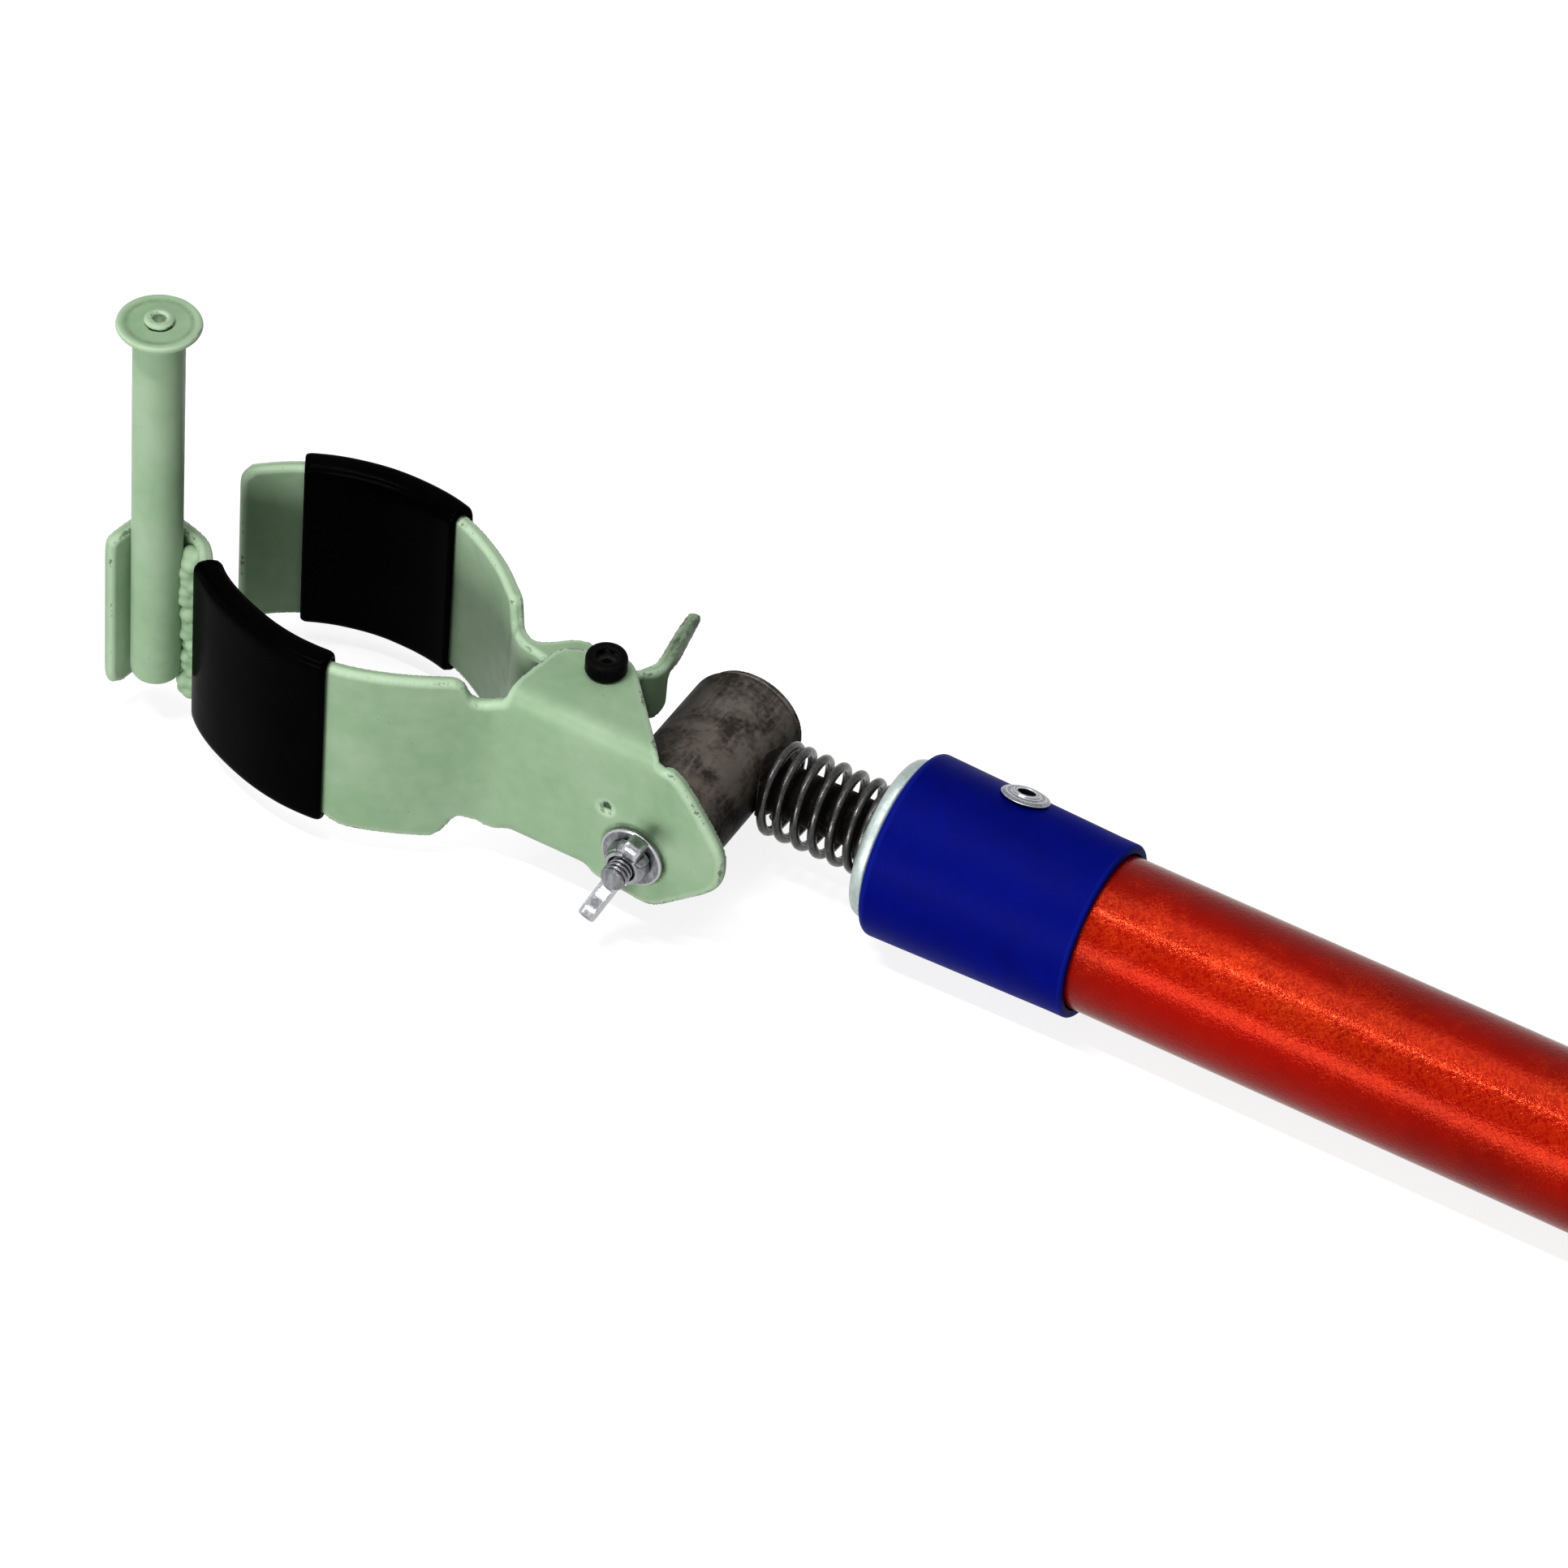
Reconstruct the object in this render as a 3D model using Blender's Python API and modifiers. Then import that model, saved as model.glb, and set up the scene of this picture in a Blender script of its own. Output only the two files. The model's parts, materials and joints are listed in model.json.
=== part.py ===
"""Lineman hot stick with a spring-loaded tilting jaw head.

Sizes are in millimetres and are turned into metres when a mesh is made. The origin is the centre of
the flat end of the butt cap, +X points out of the butt, the head lies towards -X and the guide pin
points up. Head sizes are counted from the tilt axis, where the pole's axis meets the cross tube's.
"""
import math

import bpy
import bmesh
from mathutils import Matrix, Vector

MM = 0.001
SEAT = 0.3
RUNNING = 0.3
ROUND_STEPS = 36
SMALL_STEPS = 24
MERGE = 0.00001
SHARP_ANGLE = 32.0
EDGE_BREAK = 0.5

# Length that one unit stands for in the plan and edge drawings of the bent pieces
PLAN_UNIT = 1.0
CURVE_STEPS = 4

# Pole
POLE_D = 38.1
POLE_WALL = 3.2
POLE_LENGTH = 610.0
FOAM_GAP = 6.0
CAP_BASE = 3.0
CAP_WALL = 2.2
CAP_LENGTH = 38.0

# Collar and its rivets
COLLAR_LENGTH = 52.4
COLLAR_FRONT_WALL = 3.85
COLLAR_REAR_WALL = 2.55
COLLAR_FRONT_D = POLE_D + 2 * COLLAR_FRONT_WALL
COLLAR_REAR_D = POLE_D + 2 * COLLAR_REAR_WALL
COLLAR_ROUND = 1.6
RIVET_PLACE = 24.5
RIVET_TURN = 21.0
RIVET_SPREAD = 150.0
RIVET_SHANK_D = 4.8
RIVET_FLANGE_D = 12.0
RIVET_FLANGE_T = 1.4
RIVET_BORE_D = 2.6
RIVET_BORE_DEPTH = 2.4

# Plug, shaft and its stop
PLUG_LIP = 0.95
PLUG_FLANGE_D = POLE_D + 2 * PLUG_LIP
PLUG_FLANGE_T = 4.0
PLUG_NECK = 34.0
CHAMBER_D = 24.0
CHAMBER_LENGTH = 36.0
SHAFT_D = 12.7
SHAFT_END_D = 9.5
WELD_D = 17.0
WELD_LENGTH = 2.4
STOP_WASHER_D = 20.0
STOP_WASHER_T = 2.0
STOP_NUT_FLATS = 14.3
STOP_NUT_T = 8.0
SHAFT_THREAD_PAST_NUT = 2.0

# Compression spring
SPRING_GAP = 31.2
SPRING_WIRE = 2.3
SPRING_MEAN_D = 21.0
SPRING_TURNS = 7

# Cross tube, clamp bolt and wing nut
TUBE_D = 29.6
TUBE_WALL = 4.0
TUBE_LENGTH = 49.7
END_WASHER_D = 27.0
END_WASHER_T = 1.8
BOLT_D = 6.35
BOLT_HEAD_FLATS = 11.1
BOLT_HEAD_T = 4.4
BOLT_PAST_NUT = 1.8
NUT_WASHER_D = 16.0
NUT_WASHER_T = 1.5
WING_HUB_D = 11.0
WING_HUB_TOP_D = 8.6
WING_HUB_T = 6.6
WING_SPAN = 31.0
WING_T = 2.4
WING_HEIGHT = 8.0
WING_TILT = 21.0

# Strap of both jaws
STRAP_T = 3.3
STRAP_LOW = -15.2
STRAP_HIGH = 31.7
PLATE_OUTER_Y = -37.8
PLATE_LOW = -13.0
FLANGE_BEND = 4.4
FLANGE_LAP = 0.8
BEND_INSET = STRAP_T / 150
EAR_GAP = 0.3
ARM_DROP = 2.7
EAR_END = 22.8
INDEX_HOLE_D = 3.0
INDEX_X = -8.4
INDEX_Z = 10.0

# Finger lever of the swing jaw, and how deep its strap is cut under the edge that the tube passes
LEVER_LENGTH = 20.6
LEVER_NECK = 3.8
LEVER_DEPTH = 5.8

# Jaw pivot
PIVOT_X = -21.0
PIVOT_Y = -18.6
PIVOT_D = 6.0
PIVOT_HEAD_D = 10.0
PIVOT_HEAD_T = 4.6
PIVOT_RECESS_FLATS = 5.0
PIVOT_RECESS_DEPTH = 2.6
PIVOT_WASHER_D = 12.0
PIVOT_WASHER_T = 1.2
PIVOT_NUT_FLATS = 10.0
PIVOT_NUT_T = 5.0
PIVOT_PAST_NUT = 1.2
SPACER_D = 8.2
TORSION_WIRE = 1.5
TORSION_MEAN_D = 10.6
TORSION_TURNS = 4
EAR_R = 6.4
FLANGE_R = 7.4

# Guide pin
PIN_D = 12.3
PIN_X = -130.9
PIN_Y = -38.1
PIN_LOW = -10.3
PIN_HIGH = 93.4
PIN_TENON_D = 5.4
PIN_CAP_D = 20.0
PIN_CAP_T = 3.6
PIN_BOSS_D = 7.4
PIN_BOSS_T = 1.3
PIN_BOSS_BORE_D = 3.4

# Sleeves of the jaws
VINYL_WALL = 1.6
VINYL_ROUND = 1.2
NEAR_SLEEVE_TIP = -116.2
NEAR_SLEEVE_HEEL = -74.6
FAR_SLEEVE_TIP = -116.6
FAR_SLEEVE_HEEL = -75.6

# Places worked out from the sizes, along X from the tilt axis
PLUG_FRONT = TUBE_D / 2 + SPRING_GAP
POLE_FRONT = PLUG_FRONT + PLUG_FLANGE_T + SEAT
SHOULDER = PLUG_FRONT + PLUG_NECK
PLUG_BACK = SHOULDER + CHAMBER_LENGTH
POLE_BACK = POLE_FRONT + POLE_LENGTH
TILT_X = -(POLE_BACK + SEAT + CAP_BASE)
PLATE_INNER_Y = PLATE_OUTER_Y + STRAP_T
PLATE_MID_Y = PLATE_OUTER_Y + STRAP_T / 2
TUBE_NEAR_Y = PLATE_INNER_Y + SEAT
TUBE_FAR_Y = TUBE_NEAR_Y + TUBE_LENGTH
SWING_LOW = PLATE_LOW + STRAP_T + EAR_GAP
SWING_HIGH = STRAP_HIGH - STRAP_T - EAR_GAP
SWING_PLATE_Y = PIVOT_Y + TORSION_MEAN_D / 2 + TORSION_WIRE / 2 + 2 * SEAT + STRAP_T / 2


def clear_scene():
    """Remove every object of the open scene."""
    for old in list(bpy.data.objects):
        bpy.data.objects.remove(old, do_unlink=True)


def collection(name):
    """Make a collection and link it to the scene."""
    made = bpy.data.collections.new(name)
    bpy.context.scene.collection.children.link(made)
    return made


def material(name, colour, roughness, metallic):
    """Make a Principled material."""
    made = bpy.data.materials.new(name)
    made.use_nodes = True
    shader = made.node_tree.nodes["Principled BSDF"]
    shader.inputs["Base Color"].default_value = (*colour, 1.0)
    shader.inputs["Roughness"].default_value = roughness
    shader.inputs["Metallic"].default_value = metallic
    made.diffuse_color = (*colour, 1.0)
    return made


clear_scene()
PARTS = collection("lineman_hot_stick")
CUTTERS = collection("cutters")

GREEN = material("sage_green_paint", (0.30, 0.42, 0.27), 0.42, 0.0)
BLACK_VINYL = material("black_vinyl", (0.006, 0.006, 0.007), 0.30, 0.0)
BLUE_VINYL = material("blue_vinyl", (0.004, 0.006, 0.18), 0.38, 0.0)
RED_FIBREGLASS = material("red_fibreglass", (0.42, 0.03, 0.01), 0.32, 0.0)
SCALED_STEEL = material("scaled_steel", (0.085, 0.07, 0.06), 0.55, 0.7)
SPRING_STEEL = material("spring_steel", (0.16, 0.15, 0.15), 0.38, 0.9)
ZINC = material("zinc_plate", (0.56, 0.58, 0.58), 0.32, 0.95)
BLACK_OXIDE = material("black_oxide", (0.012, 0.012, 0.012), 0.40, 0.6)
ALUMINIUM = material("rivet_aluminium", (0.66, 0.68, 0.70), 0.36, 0.95)
FOAM = material("core_foam", (0.70, 0.62, 0.42), 0.9, 0.0)
CAP_RUBBER = material("cap_rubber", (0.02, 0.02, 0.02), 0.7, 0.0)


def point(x, y, z):
    """Turn millimetres counted from the tilt axis into world metres."""
    return Vector(((TILT_X + x) * MM, y * MM, z * MM))


def add_object(name, mesh, finish, home=None):
    """Link a mesh as an object and give it its material."""
    made = bpy.data.objects.new(name, mesh)
    (home or PARTS).objects.link(made)
    if finish is not None:
        mesh.materials.append(finish)
    return made


def as_cutter(thing):
    """Mark an object as a cutter that never renders."""
    thing.hide_render = True
    thing.display_type = "WIRE"
    return thing


def settle(thing):
    """Turn a piece with modifiers into the mesh that they make, shaded smooth but for its sharp edges."""
    mesh = bpy.data.meshes.new_from_object(thing.evaluated_get(bpy.context.evaluated_depsgraph_get()))
    mesh.name = thing.name
    thing.modifiers.clear()
    thing.data = mesh
    mesh.shade_smooth()
    mesh.set_sharp_from_angle(angle=math.radians(SHARP_ANGLE))


def turned(name, profile, centre, axis, finish, steps=ROUND_STEPS, home=None):
    """Turn a profile of (radius, height) points about an axis through centre.

    A closed profile lists its outer side from top to bottom and comes back up its bore.
    """
    mesh = bpy.data.meshes.new(name)
    shape = bmesh.new()
    closed = all(radius > 0.0 for radius, height in profile)
    corners = [shape.verts.new((radius * MM, 0.0, height * MM)) for radius, height in profile]
    for first, second in zip(corners, corners[1:]):
        shape.edges.new((first, second))
    if closed:
        shape.edges.new((corners[-1], corners[0]))
    shape.to_mesh(mesh)
    shape.free()
    made = add_object(name, mesh, finish, home)
    made.location = point(*centre)
    if axis == "X":
        made.rotation_euler = (0.0, math.pi / 2, 0.0)
    if axis == "Y":
        made.rotation_euler = (-math.pi / 2, 0.0, 0.0)
    screw = made.modifiers.new("turn", "SCREW")
    screw.angle = math.tau
    screw.steps = steps
    screw.render_steps = steps
    screw.use_merge_vertices = True
    screw.merge_threshold = MERGE
    return made


def ring(outer_d, inner_d, low, high):
    """Profile of a flat ring."""
    return [(outer_d / 2, high), (outer_d / 2, low), (inner_d / 2, low), (inner_d / 2, high)]


def rod(diameter, low, high, chamfer=0.0):
    """Profile of a solid rod with chamfered ends."""
    r = diameter / 2
    if chamfer <= 0.0:
        return [(0.0, high), (r, high), (r, low), (0.0, low)]
    return [(0.0, high), (r - chamfer, high), (r, high - chamfer), (r, low + chamfer), (r - chamfer, low),
            (0.0, low)]


def hexagon(flats):
    """Corners of a hexagon given across its flats."""
    return circle(flats / 2 / math.cos(math.pi / 6), steps=6)


def prism(name, outline, low, high, centre, axis, finish, holes=(), home=None):
    """Extrude a flat outline, with holes, from low to high along an axis through centre."""
    curve = bpy.data.curves.new(name, "CURVE")
    curve.dimensions = "2D"
    curve.fill_mode = "BOTH"
    curve.extrude = (high - low) / 2 * MM
    for loop in (outline, *holes):
        spline = curve.splines.new("POLY")
        spline.points.add(len(loop) - 1)
        for knot, (u, v) in zip(spline.points, loop):
            knot.co = (u * MM, v * MM, 0.0, 1.0)
        spline.use_cyclic_u = True
    if axis == "Y":
        low, high = -high, -low
    drawn = bpy.data.objects.new(name + "_outline", curve)
    CUTTERS.objects.link(drawn)
    bpy.context.view_layer.update()
    mesh = bpy.data.meshes.new_from_object(drawn.evaluated_get(bpy.context.evaluated_depsgraph_get()))
    bpy.data.objects.remove(drawn, do_unlink=True)
    shape = bmesh.new()
    shape.from_mesh(mesh)
    bmesh.ops.remove_doubles(shape, verts=shape.verts, dist=MERGE)
    bmesh.ops.recalc_face_normals(shape, faces=shape.faces)
    shape.to_mesh(mesh)
    shape.free()
    mesh.name = name
    mesh.materials.clear()
    mesh.transform(Matrix.Translation((0.0, 0.0, (low + high) / 2 * MM)))
    made = add_object(name, mesh, finish, home)
    made.location = point(*centre)
    if axis == "X":
        made.rotation_euler = (0.0, math.pi / 2, 0.0)
    if axis == "Y":
        made.rotation_euler = (math.pi / 2, 0.0, 0.0)
    return made


def circle(radius, centre=(0.0, 0.0), steps=SMALL_STEPS):
    """Points of a circle."""
    turns = [math.tau * i / steps for i in range(steps)]
    return [(centre[0] + radius * math.cos(a), centre[1] + radius * math.sin(a)) for a in turns]


def arc(centre, radius, start, end, steps):
    """Points of an arc between two angles in degrees."""
    turns = [math.radians(start + (end - start) * i / steps) for i in range(steps + 1)]
    return [(centre[0] + radius * math.cos(a), centre[1] + radius * math.sin(a)) for a in turns]


def combine(target, tool, operation):
    """Cut or join another object with the exact solver."""
    change = target.modifiers.new(tool.name, "BOOLEAN")
    change.operation = operation
    change.object = tool
    change.solver = "EXACT"
    as_cutter(tool)
    return target


def sheet(name, rows, thickness, finish, closed=False, offset=0.0):
    """Make a shell from rows of points, thickened evenly."""
    mesh = bpy.data.meshes.new(name)
    shape = bmesh.new()
    grid = [[shape.verts.new(point(*place)) for place in row] for row in rows]
    for near, far in zip(grid, grid[1:]):
        count = len(near)
        for i in range(count if closed else count - 1):
            j = (i + 1) % count
            shape.faces.new((near[i], near[j], far[j], far[i]))
    shape.to_mesh(mesh)
    shape.free()
    made = add_object(name, mesh, finish)
    wall = made.modifiers.new("wall", "SOLIDIFY")
    wall.thickness = thickness * MM
    wall.offset = offset
    wall.use_even_offset = True
    return made


def coil(name, wire, path, centre, axis, finish):
    """Make a spring from the points that its wire follows."""
    curve = bpy.data.curves.new(name, "CURVE")
    curve.dimensions = "3D"
    curve.bevel_depth = wire / 2 * MM
    curve.bevel_resolution = 2
    curve.use_fill_caps = True
    spline = curve.splines.new("POLY")
    spline.points.add(len(path) - 1)
    for knot, place in zip(spline.points, path):
        knot.co = (place[0] * MM, place[1] * MM, place[2] * MM, 1.0)
    made = bpy.data.objects.new(name, curve)
    PARTS.objects.link(made)
    curve.materials.append(finish)
    made.location = point(*centre)
    if axis == "X":
        made.rotation_euler = (0.0, math.pi / 2, 0.0)
    return made


def helix(mean_d, start, turns, low, high, closed_pitch=0.0, per_turn=12):
    """Points of a helix; with a closed pitch its first and last turns lie close."""
    steps = round(turns * per_turn)
    places = []
    for i in range(steps + 1):
        turn = i / per_turn
        if closed_pitch:
            rise = (high - low - 2 * closed_pitch) / (turns - 2)
            height = low + closed_pitch * min(turn, 1.0) + rise * min(max(turn - 1.0, 0.0), turns - 2)
            height += closed_pitch * max(turn - turns + 1.0, 0.0)
        else:
            height = low + (high - low) * turn / turns
        angle = math.radians(start) + math.tau * turn
        places.append((mean_d / 2 * math.cos(angle), mean_d / 2 * math.sin(angle), height))
    return places


def drawn(places, x=0.0, y=0.0):
    """Turn places typed in drawing units and counted from x and y into millimetres."""
    return [(x + across * PLAN_UNIT, y + up * PLAN_UNIT) for across, up in places]


def rounded(points, steps=CURVE_STEPS):
    """Draw a smooth curve through points, a Catmull-Rom spline with equal steps between them."""
    ends = [points[0], *points, points[-1]]
    curve = []
    for a, b, c, d in zip(ends, ends[1:], ends[2:], ends[3:]):
        for i in range(steps):
            t = i / steps
            curve.append(tuple(
                0.5 * (2 * q + (r - p) * t + (2 * p - 5 * q + 4 * r - s) * t ** 2
                       + (3 * q - p - 3 * r + s) * t ** 3) for p, q, r, s in zip(a, b, c, d)))
    curve.append(tuple(points[-1]))
    return curve


def along(path):
    """Distance of each path point from the first."""
    run = [0.0]
    for a, b in zip(path, path[1:]):
        run.append(run[-1] + math.dist(a, b))
    return run


def between(places, x):
    """Read a height off a polyline of (place, height) points."""
    for (x0, z0), (x1, z1) in zip(places, places[1:]):
        if x <= x1:
            share = 0.0 if x1 == x0 else max(0.0, (x - x0) / (x1 - x0))
            return z0 + (z1 - z0) * share
    return places[-1][1]


def refine(path, marks):
    """Add a point to a path at each marked distance, so that an edge can step there."""
    run = along(path)
    wanted = sorted(set([*run, *(m for m in marks if 0.0 < m < run[-1])]))
    full = []
    for distance in wanted:
        for a, b, start, end in zip(path, path[1:], run, run[1:]):
            if start <= distance <= end:
                share = (distance - start) / (end - start)
                full.append(tuple(p + (q - p) * share for p, q in zip(a, b)))
                break
    return full, wanted


def strap(name, path, low_edge, high_edge, finish):
    """Bend a strap along a plan path, its edges given as heights over the distance run."""
    marks = [place for place, height in (*low_edge, *high_edge)]
    full, run = refine(path, marks)
    rows = [[(x, y, between(low_edge, s)), (x, y, between(high_edge, s))] for (x, y), s in zip(full, run)]
    return sheet(name, rows, STRAP_T, finish)


def run_at(path, x):
    """Distance run along a path where it first reaches x."""
    run = along(path)
    for a, b, start, end in zip(path, path[1:], run, run[1:]):
        if min(a[0], b[0]) <= x <= max(a[0], b[0]) and a[0] != b[0]:
            return start + (end - start) * (x - a[0]) / (b[0] - a[0])
    return run[-1]


# Handle


def make_pole():
    """Build the pole tube, its foam core and the butt cap."""
    bore = POLE_D - 2 * POLE_WALL
    tube = turned("pole_tube", ring(POLE_D, bore, POLE_FRONT, POLE_BACK), (0, 0, 0), "X", RED_FIBREGLASS)
    foam_low = PLUG_BACK + FOAM_GAP
    core = turned("foam_core", rod(bore - 2 * SEAT, foam_low, POLE_BACK - SEAT), (0, 0, 0), "X", FOAM,
                  SMALL_STEPS)
    inner = POLE_D / 2 + SEAT
    outer = inner + CAP_WALL
    face = POLE_BACK + SEAT + CAP_BASE
    wall_end = POLE_BACK + SEAT - CAP_LENGTH
    edge = CAP_WALL / 2
    cap_profile = [(0.0, face), (outer - edge, face), (outer, face - edge), (outer, wall_end + edge),
                   (outer - edge / 2, wall_end), (inner, wall_end), (inner, POLE_BACK + SEAT),
                   (0.0, POLE_BACK + SEAT)]
    cap = turned("butt_cap", cap_profile, (0, 0, 0), "X", CAP_RUBBER)
    return [tube, core, cap]


def make_collar():
    """Build the collar sleeve, tapered a little towards the pole."""
    inner = POLE_D / 2 + SEAT
    front, back = COLLAR_FRONT_D / 2, COLLAR_REAR_D / 2
    low, high = POLE_FRONT, POLE_FRONT + COLLAR_LENGTH
    profile = [(back - COLLAR_ROUND, high), (back - COLLAR_ROUND * 0.3, high - COLLAR_ROUND * 0.3),
               (back, high - COLLAR_ROUND), (front, low + COLLAR_ROUND),
               (front - COLLAR_ROUND * 0.3, low + COLLAR_ROUND * 0.3), (front - COLLAR_ROUND, low),
               (inner, low), (inner, high)]
    return turned("collar_sleeve", profile, (0, 0, 0), "X", BLUE_VINYL)


def radial(thing, place, turn):
    """Stand a turned piece on the pole's axis, pointing outwards at an angle from the top."""
    thing.location = point(place, 0, 0)
    thing.rotation_euler = (-math.radians(turn), 0.0, 0.0)
    return thing


def make_rivets(pieces):
    """Build the collar's two blind rivets and drill the pieces that they hold."""
    place = POLE_FRONT + RIVET_PLACE
    share = (RIVET_PLACE - COLLAR_ROUND) / (COLLAR_LENGTH - 2 * COLLAR_ROUND)
    surface = (COLLAR_FRONT_D + (COLLAR_REAR_D - COLLAR_FRONT_D) * share) / 2 + SEAT
    foot = SHAFT_D / 2 + 2 * POLE_WALL
    top = surface + RIVET_FLANGE_T
    flange, shank, bore = RIVET_FLANGE_D / 2, RIVET_SHANK_D / 2, RIVET_BORE_D / 2
    profile = [(0.0, top - RIVET_BORE_DEPTH), (bore, top - RIVET_BORE_DEPTH), (bore, top), (shank, top),
               (flange * 0.8, top - RIVET_FLANGE_T * 0.35), (flange, surface + RIVET_FLANGE_T * 0.25),
               (flange, surface), (shank, surface), (shank, foot), (0.0, foot)]
    for number in range(2):
        turn = RIVET_TURN + RIVET_SPREAD * number
        rivet = turned(f"collar_rivet_{number + 1}", profile, (0, 0, 0), "Z", ALUMINIUM, SMALL_STEPS)
        radial(rivet, place, turn)
        drill = turned(f"rivet_drill_{number + 1}", rod(RIVET_SHANK_D + 2 * SEAT, foot - SEAT, POLE_D),
                       (0, 0, 0), "Z", None, SMALL_STEPS, CUTTERS)
        radial(drill, place, turn)
        for piece in pieces:
            combine(piece, drill, "DIFFERENCE")


def make_plug():
    """Build the end plug: a flange, a neck that guides the shaft, and a chamber for its stop."""
    body = POLE_D / 2 - POLE_WALL - SEAT
    bore = SHAFT_D / 2 + RUNNING
    flange_back = PLUG_FRONT + PLUG_FLANGE_T
    edge = PLUG_FLANGE_T / 4
    profile = [(body, PLUG_BACK), (body, flange_back), (PLUG_FLANGE_D / 2, flange_back),
               (PLUG_FLANGE_D / 2, PLUG_FRONT + edge), (PLUG_FLANGE_D / 2 - edge, PLUG_FRONT),
               (bore, PLUG_FRONT), (bore, SHOULDER), (CHAMBER_D / 2, SHOULDER), (CHAMBER_D / 2, PLUG_BACK)]
    return turned("end_plug", profile, (0, 0, 0), "X", ZINC)


def make_shaft():
    """Build the shaft, coped and welded to the cross tube, with a stop washer and nut inside the plug."""
    step = SHOULDER - SEAT
    washer_low = SHOULDER + SEAT
    washer_high = washer_low + STOP_WASHER_T
    nut_low = washer_high + SEAT
    nut_high = nut_low + STOP_NUT_T
    tip = nut_high + SHAFT_THREAD_PAST_NUT
    tube_side = TUBE_D / 2 + SEAT
    weld_end = tube_side + WELD_LENGTH
    end, body, weld = SHAFT_END_D / 2, SHAFT_D / 2, WELD_D / 2
    root = TUBE_D / 4
    profile = [(0.0, tip), (end - SEAT, tip), (end, tip - SEAT), (end, step), (body, step), (body, weld_end),
               (weld, tube_side), (weld, root), (0.0, root)]
    shaft = turned("shaft", profile, (0, 0, 0), "X", SCALED_STEEL, 32)
    cope = turned("shaft_cope", rod(TUBE_D + 2 * SEAT, -TUBE_D, TUBE_D), (0, 0, 0), "Y", None, 48, CUTTERS)
    combine(shaft, cope, "DIFFERENCE")
    washer = turned("stop_washer", ring(STOP_WASHER_D, SHAFT_END_D + 2 * RUNNING, washer_low, washer_high),
                    (0, 0, 0), "X", ZINC, 32)
    nut = prism("shaft_stop_nut", hexagon(STOP_NUT_FLATS), nut_low, nut_high, (0, 0, 0), "X", ZINC,
                [circle(SHAFT_END_D / 2 + SEAT)])
    return shaft, washer, nut


def make_spring():
    """Build the compression spring between the cross tube and the plug, with closed ends."""
    low = TUBE_D / 2 + SEAT + SPRING_WIRE / 2
    high = PLUG_FRONT - SEAT - SPRING_WIRE / 2
    path = helix(SPRING_MEAN_D, 0, SPRING_TURNS, low, high, SPRING_WIRE + SEAT / 2)
    return coil("compression_spring", SPRING_WIRE, path, (0, 0, 0), "X", SPRING_STEEL)


# Knuckle


def make_cross_tube():
    """Build the cross tube and the washer on its far end."""
    outer, inner, edge = TUBE_D / 2, TUBE_D / 2 - TUBE_WALL, TUBE_WALL / 6
    profile = [(outer - edge, TUBE_FAR_Y), (outer, TUBE_FAR_Y - edge), (outer, TUBE_NEAR_Y + edge),
               (outer - edge, TUBE_NEAR_Y), (inner, TUBE_NEAR_Y), (inner, TUBE_FAR_Y)]
    tube = turned("cross_tube", profile, (0, 0, 0), "Y", SCALED_STEEL, 48)
    low = TUBE_FAR_Y + SEAT
    washer = turned("tube_end_washer", ring(END_WASHER_D, BOLT_D + 2 * SEAT, low, low + END_WASHER_T),
                    (0, 0, 0), "Y", ZINC)
    return tube, washer


def make_clamp_bolt():
    """Build the clamp bolt along the cross tube's axis."""
    head_low = TUBE_FAR_Y + 2 * SEAT + END_WASHER_T
    tip = PLATE_OUTER_Y - 2 * SEAT - NUT_WASHER_T - WING_HUB_T - BOLT_PAST_NUT
    bolt = turned("clamp_bolt", rod(BOLT_D, tip, head_low + BOLT_HEAD_T / 2, BOLT_D / 10), (0, 0, 0), "Y",
                  ZINC, SMALL_STEPS)
    head = prism("clamp_bolt_head", hexagon(BOLT_HEAD_FLATS), head_low, head_low + BOLT_HEAD_T, (0, 0, 0),
                 "Y", ZINC, home=CUTTERS)
    return combine(bolt, head, "UNION")


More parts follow.
